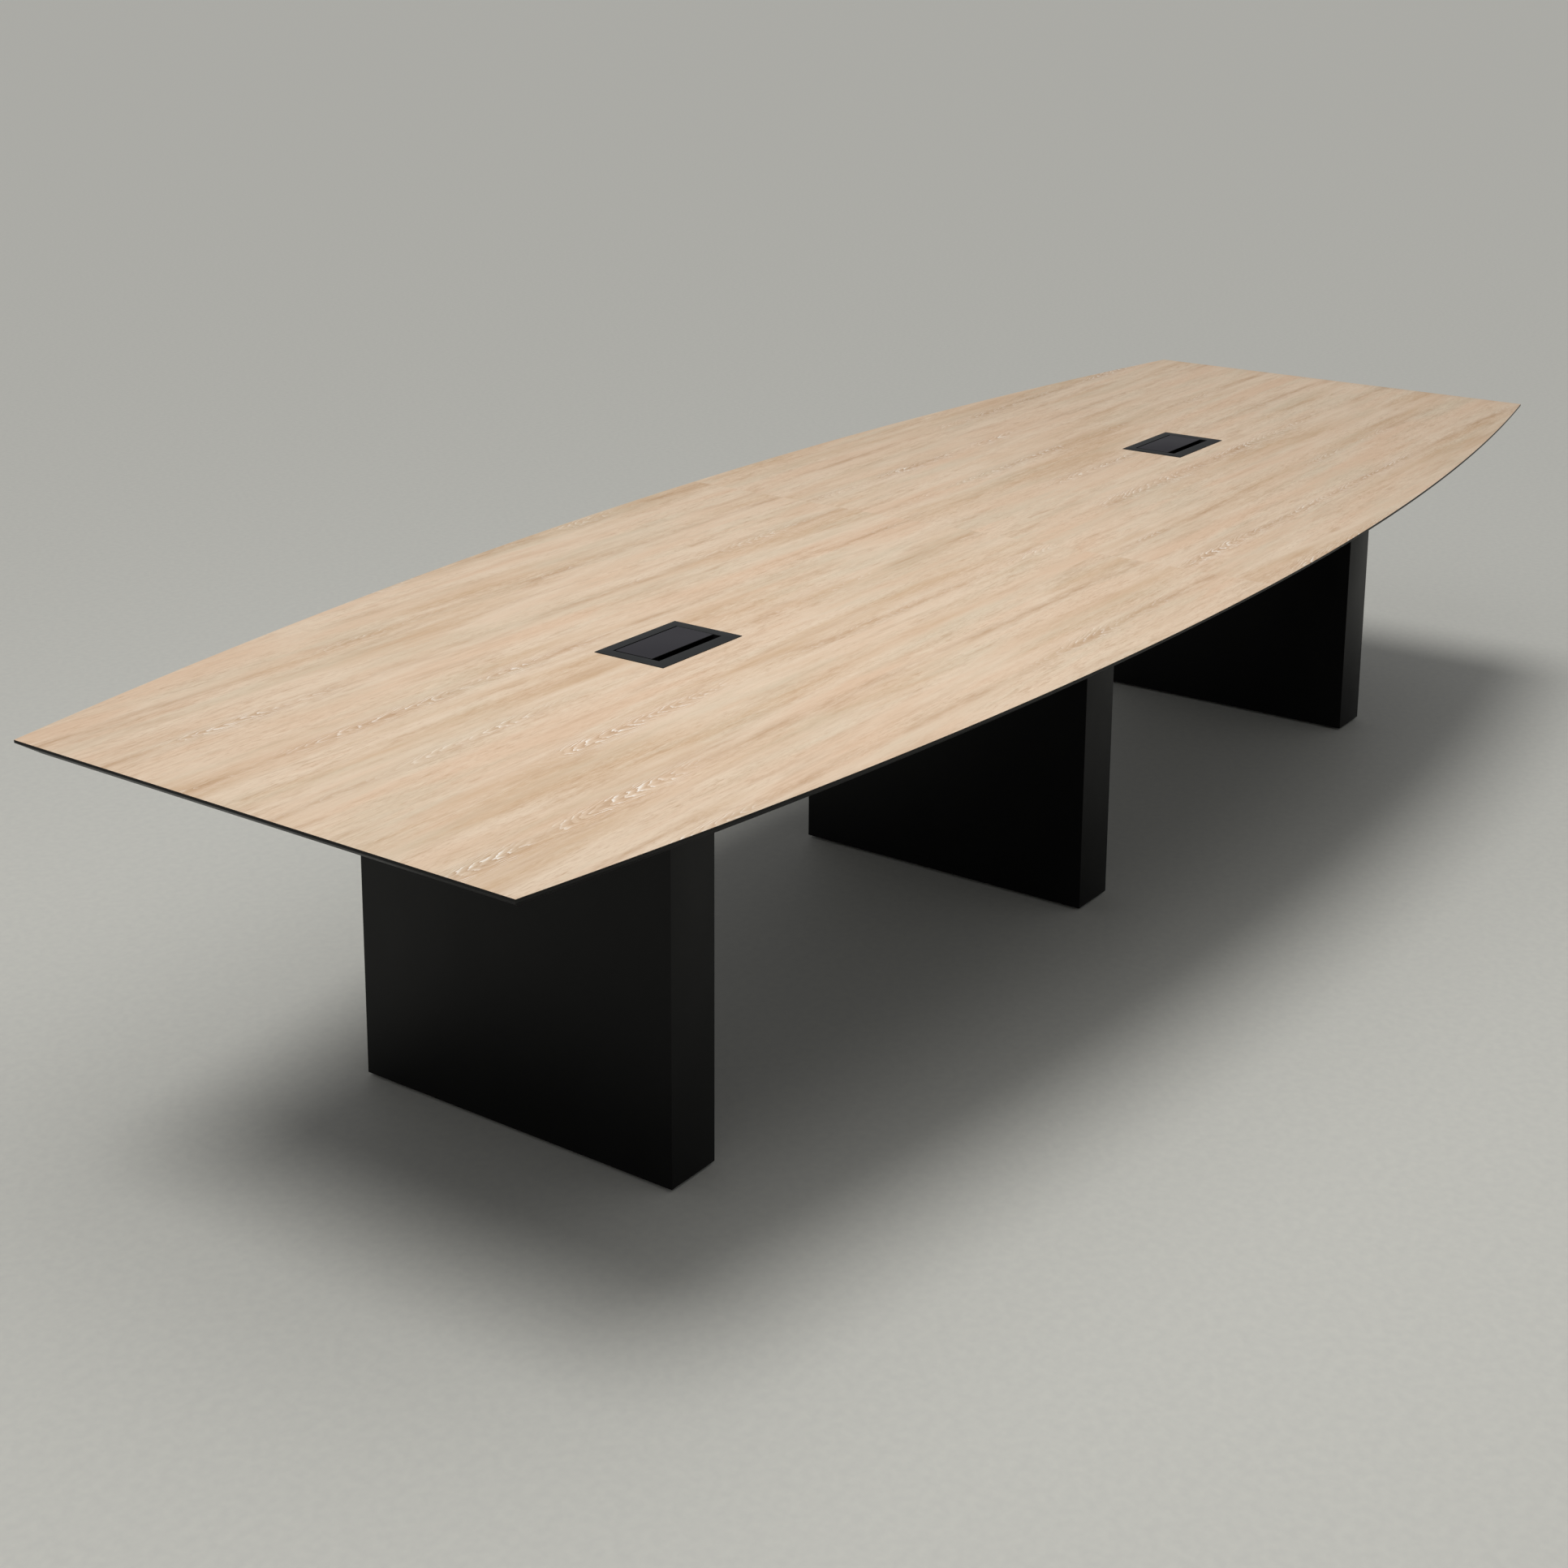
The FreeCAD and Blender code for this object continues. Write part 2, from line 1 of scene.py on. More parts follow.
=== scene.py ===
# %% [markdown]
# # A boat-shaped conference table
# The real table has a long top of wood-grain laminate with a thin black edge, on three hollow
# black slabs. Two power boxes with flush lids are let into the top. Its solids come ready made,
# at their true size. This lesson models the pieces that show once more, with the soft edges and
# small details of the real ones, and gives every piece a finish made of nodes. The box round the
# solids is measured first, and printed at the end.

# %% Load the solids
import math

import bmesh
import bpy
from mathutils import Matrix, Vector


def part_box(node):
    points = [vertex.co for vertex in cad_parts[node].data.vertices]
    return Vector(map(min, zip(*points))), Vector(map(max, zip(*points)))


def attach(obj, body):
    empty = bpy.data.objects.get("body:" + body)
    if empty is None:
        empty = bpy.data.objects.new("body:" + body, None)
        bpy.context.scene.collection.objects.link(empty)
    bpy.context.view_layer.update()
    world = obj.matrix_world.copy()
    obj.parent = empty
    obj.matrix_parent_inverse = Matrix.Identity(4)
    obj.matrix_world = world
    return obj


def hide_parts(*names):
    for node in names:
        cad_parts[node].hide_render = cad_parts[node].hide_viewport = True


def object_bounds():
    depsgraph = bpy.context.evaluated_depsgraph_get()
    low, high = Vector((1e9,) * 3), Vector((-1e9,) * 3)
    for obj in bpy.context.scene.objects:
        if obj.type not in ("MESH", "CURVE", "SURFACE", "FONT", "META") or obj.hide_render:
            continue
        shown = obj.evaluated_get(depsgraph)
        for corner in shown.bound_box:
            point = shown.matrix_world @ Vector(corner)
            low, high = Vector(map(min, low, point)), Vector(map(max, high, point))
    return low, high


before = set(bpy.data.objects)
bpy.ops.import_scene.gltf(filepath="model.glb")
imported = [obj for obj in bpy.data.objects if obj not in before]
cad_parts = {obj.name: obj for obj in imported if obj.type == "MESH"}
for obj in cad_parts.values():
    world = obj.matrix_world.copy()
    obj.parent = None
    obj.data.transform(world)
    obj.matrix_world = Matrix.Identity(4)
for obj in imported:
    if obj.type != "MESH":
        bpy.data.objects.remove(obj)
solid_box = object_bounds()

MM = 0.001
table_low, table_high = solid_box
print("solids:", len(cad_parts), "size:", [round(v, 4) for v in table_high - table_low])

# %% [markdown]
# ## Working by selection
# Blender's modelling operators act on whatever is selected, so every step starts by letting go of
# everything and then picks its vertices, edges or faces by where they are or which way they look.
# These helpers do that. They are the script's version of clicking in the window.

# %% Helpers that select


def let_go():
    """Go back to object mode with nothing selected."""
    if bpy.context.mode != "OBJECT":
        bpy.ops.object.mode_set(mode="OBJECT")
    bpy.ops.object.select_all(action="DESELECT")


def take(piece):
    """Select one piece alone, in object mode."""
    let_go()
    piece.select_set(True)
    bpy.context.view_layer.objects.active = piece


def open_up(piece):
    """Enter edit mode on one piece, with all of it selected."""
    take(piece)
    bpy.ops.object.mode_set(mode="EDIT")
    bpy.ops.mesh.select_mode(type="VERT")
    bpy.ops.mesh.select_all(action="SELECT")


def pick(kind, test):
    """In edit mode, select only the vertices, edges or faces that pass a test."""
    bpy.ops.mesh.select_mode(type=kind)
    bpy.ops.mesh.select_all(action="DESELECT")
    mesh = bmesh.from_edit_mesh(bpy.context.object.data)
    parts = {"VERT": mesh.verts, "EDGE": mesh.edges, "FACE": mesh.faces}[kind]
    chosen = [part for part in parts if test(part)]
    for part in chosen:
        part.select_set(True)
    bmesh.update_edit_mesh(bpy.context.object.data)


def middle(part):
    """Middle of an edge or a face."""
    return sum((vert.co for vert in part.verts), Vector()) / len(part.verts)


def near(a, b):
    """Two places that are the same to a hundredth of a millimetre."""
    return abs(a - b) < 0.01 * MM


def at_height(edge, z):
    """Edge that lies level at a height."""
    return all(near(vert.co.z, z) for vert in edge.verts)


def within(point, low, high):
    """Point over the rectangle between two corners."""
    return low.x < point.x < high.x and low.y < point.y < high.y


print("starting in mode:", bpy.context.mode)

# %% [markdown]
# ## Cutting and placing
# The main cutter is a plane that bisects the mesh. It draws a line across a sheet, or takes a
# corner off a block and closes the cut. A copy is mirrored or moved, and its place is then applied
# to its mesh, so that every finished piece has its origin at the table's own origin.

# %% Helpers that cut and place
MERGE = 0.005 * MM          # points closer than this become one


def slice_at(point, normal, **options):
    """Bisect the whole mesh with a plane."""
    bpy.ops.mesh.select_all(action="SELECT")
    bpy.ops.mesh.bisect(plane_co=point, plane_no=normal, **options)


def slice_both_ways(point):
    """Slice the whole mesh along X and along Y, through one point."""
    slice_at((point.x, 0, 0), (1, 0, 0))
    slice_at((0, point.y, 0), (0, 1, 0))


def cut_off(point, normal):
    """Bisect with a plane, throw away what lies on its normal's side and close the cut."""
    slice_at(point, normal, use_fill=True, clear_outer=True)


def face_outwards():
    """Merge doubles and make the faces of a closed shell look outwards."""
    bpy.ops.mesh.select_all(action="SELECT")
    bpy.ops.mesh.remove_doubles(threshold=MERGE)
    bpy.ops.mesh.normals_make_consistent(inside=False)


def extrude(run):
    """Extrude what is selected by a run."""
    bpy.ops.mesh.extrude_region_move(TRANSFORM_OT_translate={"value": run})


def spin(angle, centre, steps):
    """Spin what is selected about an upright axis; the operator counts its angle clockwise."""
    bpy.ops.mesh.spin(steps=steps, angle=-angle, center=centre, axis=(0, 0, 1))


def ease(width, segments=2):
    """Round the selected edges over."""
    bpy.ops.mesh.bevel(offset=width, segments=segments, affect="EDGES")


def block(name, low, high):
    """A cube primitive between two corners, opened up for editing."""
    let_go()
    low, high = Vector(low), Vector(high)
    bpy.ops.mesh.primitive_cube_add(size=1, location=(low + high) / 2)
    piece = bpy.context.object
    piece.name = name
    piece.scale = high - low
    bpy.ops.object.transform_apply()
    open_up(piece)
    return piece


def copy_of(piece, name, shift=(0, 0, 0), flip=(1, 1, 1)):
    """A copy with its own mesh, mirrored about the origin or moved, with its place in its mesh."""
    take(piece)
    bpy.ops.object.duplicate()
    copy = bpy.context.object
    copy.name = name
    copy.scale = flip
    copy.location = shift
    bpy.ops.object.transform_apply()
    open_up(copy)
    face_outwards()
    let_go()
    return copy


print("points merge within", round(MERGE / MM, 4), "mm")

# %% [markdown]
# ## The camera
# The photograph looks down along the table from beyond its near left corner. Its lens and place
# were found by matching the corners of the top, the bases and the boxes with the same points of
# the solids. The picture was framed off the lens axis, so the lens is shifted downwards a little
# and the uprights stay nearly upright.

# %% Camera at the photograph's place
picture_side = 1932
axis_row = 556.8            # picture row that the lens axis meets
camera_data = bpy.data.cameras.new("photo_camera")
camera_data.sensor_width = 36.0
camera_data.lens = 55.0
camera_data.shift_y = axis_row / picture_side - 0.5
camera_data.clip_end = 400.0
camera = bpy.data.objects.new("photo_camera", camera_data)
bpy.context.scene.collection.objects.link(camera)
bpy.context.scene.camera = camera

camera_place = Vector((-4.1729, -2.4939, 2.0313))
heading, dip, roll = (math.radians(angle) for angle in (35.230, 12.992, 0.356))
camera.matrix_world = (Matrix.Translation(camera_place)
                       @ Matrix.Rotation(heading - math.pi / 2, 4, "Z")
                       @ Matrix.Rotation(math.pi / 2 - dip, 4, "X")
                       @ Matrix.Rotation(roll, 4, "Z"))
print("camera shift:", round(camera_data.shift_y, 4))

# %% [markdown]
# ## The light
# The room had a bright ceiling: the shadow lies almost straight under the top, with a soft edge,
# a little towards the far end. A pale world lights everything evenly, a wide sun draws that
# shadow, and one soft lamp over the near end makes the top fall off gently towards the far end.
# Together they bring a level face to about the colour that its finish is written in.

# %% Studio light
ROOM_COLOUR, ROOM_STRENGTH = (0.97, 0.98, 1.0, 1.0), 0.29
SUN_STRENGTH, SUN_SPREAD = 1.52, math.radians(26)
SUN_PLACE, SUN_TARGET = (-0.6, 0.3, 3.0), (0.0, 0.0, 0.6)
PANEL_POWER, PANEL_SIZE = 25.0, 3.0
face_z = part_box("near_top_laminate")[1].z
PANEL_PLACE, PANEL_TARGET = (-1.1, -0.4, 2.9), (-0.9, -0.2, face_z)

world = bpy.data.worlds.new("soft_room")
bpy.context.scene.world = world
world.use_nodes = True
room = world.node_tree.nodes["Background"]
room.inputs["Color"].default_value = ROOM_COLOUR
room.inputs["Strength"].default_value = ROOM_STRENGTH


def lamp(name, kind, energy, place, target):
    """A lamp that looks at a target."""
    data = bpy.data.lights.new(name, kind)
    data.energy = energy
    holder = bpy.data.objects.new(name, data)
    bpy.context.scene.collection.objects.link(holder)
    holder.location = place
    holder.rotation_euler = (Vector(target) - Vector(place)).to_track_quat("-Z", "Y").to_euler()
    return data


ceiling = lamp("ceiling", "SUN", SUN_STRENGTH, SUN_PLACE, SUN_TARGET)
ceiling.angle = SUN_SPREAD
panel = lamp("near_panel", "AREA", PANEL_POWER, PANEL_PLACE, PANEL_TARGET)
panel.shape = "DISK"
panel.size = PANEL_SIZE
bpy.context.scene.view_settings.view_transform = "Standard"
print("lamps:", [light.name for light in bpy.data.lights])

# %% [markdown]
# ## Finishes from nodes
# A finish is a small graph: a coordinate goes into noise, the noise chooses between colours, and
# the result goes into one shader. These helpers add a node and wire it in one line. Colours are
# written as the screen shows them, from 0 to 255, and turned into light.

# %% Helpers that start a finish


def tone(*levels):
    """Screen colour, from 0 to 255 a channel, as linear light."""
    parts = [level / 255 for level in levels]
    return (*[v / 12.92 if v <= 0.04045 else ((v + 0.055) / 1.055) ** 2.4 for v in parts], 1.0)


def wire(finish, value, socket):
    """Link an output to a socket, or set the socket to a plain value."""
    if isinstance(value, bpy.types.NodeSocket):
        finish.node_tree.links.new(value, socket)
    else:
        socket.default_value = value


def grow(finish, kind, **sockets):
    """Add a shader node; an underscore in a socket's name stands for a space."""
    node = finish.node_tree.nodes.new("ShaderNode" + kind)
    for name, value in sockets.items():
        wire(finish, value, node.inputs[name.replace("_", " ")])
    return node


def start_finish(name, move=(0.0, 0.0, 0.0)):
    """A new material, its shader, and the place on the piece that its patterns go by."""
    finish = bpy.data.materials.new(name)
    finish.use_nodes = True
    own_place = grow(finish, "TexCoord").outputs["Object"]
    place = grow(finish, "Mapping", Vector=own_place, Location=move).outputs["Vector"]
    return finish, finish.node_tree.nodes["Principled BSDF"], place


def coat(finish, shader, colour, roughness, specular=0.5):
    """Give the shader its colour, its roughness and how strongly it mirrors."""
    wire(finish, colour, shader.inputs["Base Color"])
    wire(finish, roughness, shader.inputs["Roughness"])
    wire(finish, specular, shader.inputs["Specular IOR Level"])


def emboss(finish, shader, height, strength, depth):
    """Bump from a height field, depth being the height of a full step."""
    bump = grow(finish, "Bump", Height=height, Strength=strength, Distance=depth)
    wire(finish, bump.outputs["Normal"], shader.inputs["Normal"])


print("mid grey as light:", round(tone(128, 128, 128)[0], 3))

# %% [markdown]
# ## Patterns from nodes
# A Noise texture gives a value from about 0.3 to 0.7 at every place. A Map Range node stretches
# the part of it that is wanted, and holds what lies outside. Such values are multiplied, so that
# one pattern shows only where another one is strong, and they choose between two colours.

# %% Helpers that draw patterns


def noise(finish, place, scale, detail=2.0, roughness=0.5, distortion=0.0, shift=(0.0, 0.0, 0.0)):
    """Noise by the place on a piece, with features of 1 / scale metres each way."""
    stretch = grow(finish, "Mapping", Vector=place, Scale=scale, Location=shift)
    texture = grow(finish, "TexNoise", Vector=stretch.outputs["Vector"], Scale=1.0, Detail=detail,
                   Roughness=roughness, Distortion=distortion)
    return texture.outputs["Fac"]


def between(finish, value, low, high, start=0.0, end=1.0):
    """Value stretched from the span low to high onto the span start to end, and held there."""
    node = grow(finish, "MapRange", Value=value, From_Min=low, From_Max=high,
                To_Min=start, To_Max=end)
    return node.outputs["Result"]


def maths(finish, operation, a, b=0.0):
    """One step of arithmetic."""
    node = finish.node_tree.nodes.new("ShaderNodeMath")
    node.operation = operation
    wire(finish, a, node.inputs[0])
    wire(finish, b, node.inputs[1])
    return node.outputs["Value"]


def times(finish, product, *factors):
    """Product of all the values."""
    for factor in factors:
        product = maths(finish, "MULTIPLY", product, factor)
    return product


def blend(finish, share, under, over):
    """Colour that goes from under to over with a share from 0 to 1."""
    node = finish.node_tree.nodes.new("ShaderNodeMix")
    node.data_type = "RGBA"
    for value, index in ((share, 0), (under, 6), (over, 7)):
        wire(finish, value, node.inputs[index])
    return node.outputs[2]


def ramp(finish, value, *stops):
    """Colour by stops of (position, colour)."""
    node = grow(finish, "ValToRGB", Fac=value)
    elements = node.color_ramp.elements
    while len(elements) < len(stops):
        elements.new(0.5)
    for element, (position, colour) in zip(elements, stops):
        element.position = position
        element.color = colour
    return node.outputs["Color"]


print("materials so far:", len(bpy.data.materials))

# %% [markdown]
# ## Figures of the oak
# The top's face is a printed oak. Here and there a heart line shows a cathedral figure: nested U
# shapes that open towards the far end. They are the lines of equal value of a field that grows
# along X and falls with the square of the distance from the heart line. A slow noise lets only
# some of them show, and the heart line itself is often a dark streak.

# %% Figures of the oak
HEART_PITCH = 0.18          # between two heart lines
HEART_OFFSET = 0.05         # one of them lies about this far in front of the middle
HEART_WANDER = 0.03         # how far a heart line strays to either side
RING_PITCH = 30 * MM        # between the tips of two figures
RING_BEND = 4.5 * MM        # the smaller, the more pointed a figure
RING_WAVER = 4.0            # how many rings the noise may push a figure along
HEART_CLEAR = 12 * MM       # from a heart line to where its figures start to fade
HEART_REACH = 34 * MM       # and to where they are gone
CORE_CLEAR = 2 * MM         # from a heart line to where its dark streak starts to fade
CORE_REACH = 16 * MM        # and to where it is gone


def cathedral(finish, place):
    """Saw-tooth across the rings of the figures, how clearly they show, and the heart's streak."""
    along, across, _ = grow(finish, "SeparateXYZ", Vector=place).outputs
    stray = noise(finish, place, (0.15, 3, 1), 2)
    heart = between(finish, stray, 0.3, 0.7, HEART_OFFSET - HEART_WANDER, HEART_OFFSET + HEART_WANDER)
    off = maths(finish, "PINGPONG", maths(finish, "ADD", across, heart), HEART_PITCH / 2)
    bend = maths(finish, "DIVIDE", times(finish, off, off), RING_BEND)
    run = maths(finish, "DIVIDE", maths(finish, "SUBTRACT", along, bend), RING_PITCH)
    waver = times(finish, noise(finish, place, (8, 40, 1), 3, 0.65), RING_WAVER)
    ring = maths(finish, "FRACT", maths(finish, "ADD", run, waver))

    cluster = noise(finish, place, (1.5, 4, 1), 1, shift=(3.9, 10.1, 0))
    pause = noise(finish, place, (5, 3, 1), 1, shift=(2, 4, 0))
    clear = times(finish,
                  between(finish, cluster, 0.43, 0.62),
                  between(finish, pause, 0.4, 0.58, 0.1, 1.0),
                  between(finish, off, HEART_CLEAR, HEART_REACH, 1.0, 0.0))

    length = noise(finish, place, (2.2, 3, 1), 2, shift=(6, 9, 0))
    grit = noise(finish, place, (16, 90, 1), 3, 0.6, shift=(8, 2, 0))
    heart_streak = times(finish,
                         between(finish, off, CORE_CLEAR, CORE_REACH, 1.0, 0.0),
                         between(finish, length, 0.38, 0.58, 0.0, 0.6),
                         between(finish, grit, 0.35, 0.62, 0.15, 1.0))
    return ring, clear, heart_streak


print("figures a metre along a heart line:", round(1 / RING_PITCH))

# %% [markdown]
# ## Limed oak laminate
# The print starts from broad bands along X, in tan, cream and peach, with patches of grey-green
# and peach and with brown streaks. Over them go the brown lines of the figures, then mottling,
# fine strokes and pores, in dark and light. White flecks come last, beside the lines of the
# figures, where lime fills the pores. The two halves of the top are cut from different parts of
# the print, so the grain breaks off at their seam: a Mapping node moves the whole pattern for
# the far half.

# %% Finish of the top
PRINT_MOVES = {"near": (0.0, 0.0, 0.0), "far": (0.7, -0.08, 0.0)}


def limed_oak(name, move):
    """The oak print, with all of it moved along and across the table."""
    finish, shader, place = start_finish(name, move)
    sand, cream, rose = tone(203, 175, 145), tone(219, 198, 174), tone(215, 187, 160)
    sage, bark = tone(205, 190, 166), tone(175, 140, 107)
    milk, lime = tone(227, 208, 184), tone(240, 232, 221)

    band = noise(finish, place, (0.9, 11, 1), 3, 0.6)
    face = ramp(finish, band, (0.36, sand), (0.52, cream), (0.66, rose))
    for tint, shift in ((sage, (7, 3, 0)), (rose, (3, 8, 0))):
        patch = noise(finish, place, (2.0, 16, 1), 3, 0.6, shift=shift)
        face = blend(finish, between(finish, patch, 0.48, 0.66, 0.0, 0.6), face, tint)
    streak = noise(finish, place, (3.4, 40, 1), 6, 0.68, 0.3, shift=(4, 1, 0))
    face = blend(finish, between(finish, streak, 0.52, 0.72, 0.0, 0.38), face, bark)

    ring, clear, heart_streak = cathedral(finish, place)
    face = blend(finish, heart_streak, face, bark)
    late_wood = times(finish, between(finish, ring, 0.45, 0.95, 0.0, 0.6), clear)
    face = blend(finish, late_wood, face, bark)

    zone = noise(finish, place, (2.0, 24, 1), 2, shift=(5, 2, 0))
    strength = between(finish, zone, 0.38, 0.62, 0.25, 1.0)
    mottle = noise(finish, place, (9, 64, 1), 3, 0.65, 0.3, shift=(9, 5, 0))
    stroke = noise(finish, place, (26, 230, 1), 3, 0.6)
    pore = noise(finish, place, (60, 480, 1), 2, 0.6, shift=(2, 5, 0))
    for texture in (mottle, stroke, pore):
        dark_share = times(finish, between(finish, texture, 0.55, 0.76, 0.0, 0.5), strength)
        face = blend(finish, dark_share, face, bark)
        light_share = times(finish, between(finish, texture, 0.44, 0.26, 0.0, 0.5), strength)
        face = blend(finish, light_share, face, milk)

    fleck = noise(finish, place, (22, 95, 1), 2, 0.5, shift=(1, 6, 0))
    limed = times(finish, between(finish, ring, 0.36, 0.06), between(finish, fleck, 0.44, 0.56), clear)
    face = blend(finish, limed, face, lime)

    coat(finish, shader, face, between(finish, stroke, 0.3, 0.7, 0.6, 0.7), specular=0.1)
    emboss(finish, shader, stroke, 0.12, 0.1 * MM)
    return finish


oaks = {half: limed_oak(half + "_limed_oak", move) for half, move in PRINT_MOVES.items()}
for oak in oaks.values():
    print("finish:", oak.name, "nodes:", len(oak.node_tree.nodes))

# %% [markdown]
# ## Black finishes
# Nearly everything else is black, and the blacks differ only in sheen and in how fine their
# surface is: satin lacquer on the edge, a matt laminate on the slabs, powder coat on steel,
# anodised aluminium on the boxes, nylon and moulded plastic. One function builds them all. A fine
# noise sets the grain of the surface, and a slow one the cloudiness that a hand leaves on it. The
# lids are a little bluer than their frames, so they have a finish of their own.

# %% Finishes of the black pieces


def black(name, dark, light, gloss, grain, depth, specular=0.5):
    """Black between two tones and two roughnesses; grain to the metre, its depth in millimetres."""
    finish, shader, place = start_finish(name)
    fine = noise(finish, place, (grain, grain, grain), 2, 0.6)
    cloud = noise(finish, place, (6, 6, 4), 3, 0.55)
    shade = times(finish, maths(finish, "ADD", fine, cloud), 0.5)
    colour = ramp(finish, shade, (0.35, tone(*dark)), (0.65, tone(*light)))
    coat(finish, shader, colour, between(finish, cloud, 0.3, 0.7, *gloss), specular)
    emboss(finish, shader, fine, 0.25, depth * MM)
    return finish


BLACKS = {
    "edge_black": ("satin_lacquer", (7, 7, 6), (12, 11, 10), (0.4, 0.5), 900, 0.02, 0.2),
    "base_black": ("matt_laminate", (5, 5, 5), (9, 9, 9), (0.36, 0.46), 1500, 0.03, 0.17),
    "backer_sheet": ("backing_laminate", (20, 20, 19), (29, 28, 27), (0.55, 0.7), 700, 0.06),
    "plate_black": ("plate_powder_coat", (18, 18, 18), (28, 28, 28), (0.5, 0.6), 1100, 0.08),
    # the tray's own black, also used as painted shade on the frames' inner walls and rims and on the
    # lids' edges
    "tray_black": ("tray_coat_and_painted_shade", (10, 10, 10), (16, 16, 16), (0.55, 0.65), 1100, 0.08, 0.2),
    "box_black": ("frame_anodising", (24, 25, 25), (32, 33, 33), (0.45, 0.55), 2600, 0.02, 0.3),
    "glide_nylon": ("glide_nylon", (16, 16, 16), (26, 26, 26), (0.45, 0.6), 600, 0.05),
    "socket_plastic": ("moulded_plastic", (15, 15, 16), (23, 23, 24), (0.3, 0.42), 1800, 0.03),
}
finishes = {slot_name: black(*row) for slot_name, row in BLACKS.items()}
lid_finish = black("lid_anodising", (29, 27, 32), (38, 36, 41), (0.45, 0.55), 2600, 0.02, 0.3)
print("black finishes:", len(finishes) + 1)

# %% [markdown]
# ## Hidden boards, beech and steel
# Inside the top and the slabs there is raw fibreboard, the seam is held by beech dowels, and the
# fasteners are zinc plated. They hardly show, but a part may be taken to pieces, so each has its
# own look: flecked board, straight-grained beech and clouded zinc. Then every solid gets the
# finish that the name of its slot asks for.

# %% Finishes of the hidden pieces


def grained(name, scale, coarseness, gloss, *stops):
    """A finish whose colour and roughness follow one noise, with its shader and that noise."""
    finish, shader, place = start_finish(name)
    grain = noise(finish, place, scale, 3, coarseness)
    roughness = between(finish, grain, 0.3, 0.7, *gloss)
    coat(finish, shader, ramp(finish, grain, *stops), roughness)
    return finish, shader, grain


board, shader, fleck = grained("fibreboard", (420, 420, 900), 0.7, (0.75, 0.9), (0.3, tone(140, 108, 76)),
                               (0.5, tone(170, 138, 103)), (0.7, tone(192, 163, 128)))
emboss(board, shader, fleck, 0.4, 0.2 * MM)
beech, shader, grain = grained("beech", (14, 500, 500), 0.6, (0.5, 0.65),
                               (0.35, tone(188, 148, 110)), (0.65, tone(218, 184, 146)))
emboss(beech, shader, grain, 0.3, 0.1 * MM)
zinc, shader, _ = grained("zinc_plating", (240, 240, 240), 0.6, (0.28, 0.42),
                          (0.35, tone(168, 168, 164)), (0.65, tone(204, 206, 208)))
shader.inputs["Metallic"].default_value = 1.0

finishes.update(oak_laminate=oaks["near"], core_board=board, beech=beech, plain_steel=zinc)
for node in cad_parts.values():
    slot_name = node.data.materials[0].name
    node.material_slots[0].material = finishes[slot_name]
print("finishes:", sorted(finishes))

# %% [markdown]
# ## Finishing a piece
# When the shape of a piece is right, it is shaded, so that its rounded edges look round and its
# flats stay flat, gets its finish, takes the place of its solid and rides on that solid's body. A
# piece of two finishes gets a second material slot, and some of its faces are assigned to it.

# %% Helpers that finish a piece
SMOOTH_ANGLE = math.radians(35)


def two_finishes(piece, main, other, test):
    """Give a piece its main finish, and another one to the faces that pass a test."""
    piece.data.materials.append(main)
    piece.data.materials.append(other)
    open_up(piece)
    pick("FACE", test)
    piece.active_material_index = 1
    bpy.ops.object.material_slot_assign()
    let_go()


def hand_over(piece, slot_name, body, *nodes):
    """Shade a finished piece, give it its finish and let it stand for its solids."""
    take(piece)
    bpy.ops.object.shade_smooth_by_angle(angle=SMOOTH_ANGLE)
    if not piece.data.materials:
        piece.data.materials.append(finishes[slot_name])
    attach(piece, body)
    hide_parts(*nodes)
    return piece


# %% [markdown]
# ## The outline of the top
# Seen from above, the top is a boat: its ends are straight and its long sides bow out. A bow like
# this is an arc of a very large circle. The circle's radius follows from the length of the top and
# from how much wider it is in the middle than at the ends.

# %% Outline of the top
core_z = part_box("near_top_laminate")[0].z
half_length = table_high.x
half_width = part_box("near_top_laminate")[1].y
end_half_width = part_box("near_end_lipping")[1].y
bow = half_width - end_half_width
arc_radius = (half_length ** 2 + bow ** 2) / (2 * bow)
arc_centre = arc_radius - half_width
half_swing = math.asin(half_length / arc_radius)
ARC_STEPS = 48


def edge_y(x, inset=0.0):
    """Half width of the top at x, a given distance inside its edge."""
    return math.sqrt((arc_radius - inset) ** 2 - x ** 2) - arc_centre


print("bow:", round(bow / MM), "mm on a radius of", round(arc_radius, 3), "m")

# %% [markdown]
# ## The top's laminate
# Each half of the top wears one sheet, a millimetre thick. One point is spun about the circle's
# centre, the arc is mirrored to the other side, and the two arcs are bridged into a sheet. The
# opening for the power box is sliced and deleted, and the sheet gets its thickness and a tiny
# rounded arris. The sheet's edge is dark, because such a laminate is brown-black paper under its
# printed face.

# %% Laminate sheets
LAMINATE_ROOM = 1.0 * MM    # between the sheet's opening and the tray
ARRIS = 0.4 * MM
FACE_TILT = 0.6             # what looks less upwards than this is the sheet's edge
HALVES = {"near": -1, "far": 1}


def on_outline(edge):
    """Edge of the sheet's face that lies on the outline of the top."""
    place = middle(edge)
    outside = abs(place.y) > edge_y(place.x) - MM or abs(place.x) > half_length - MM
    return outside and at_height(edge, face_z)


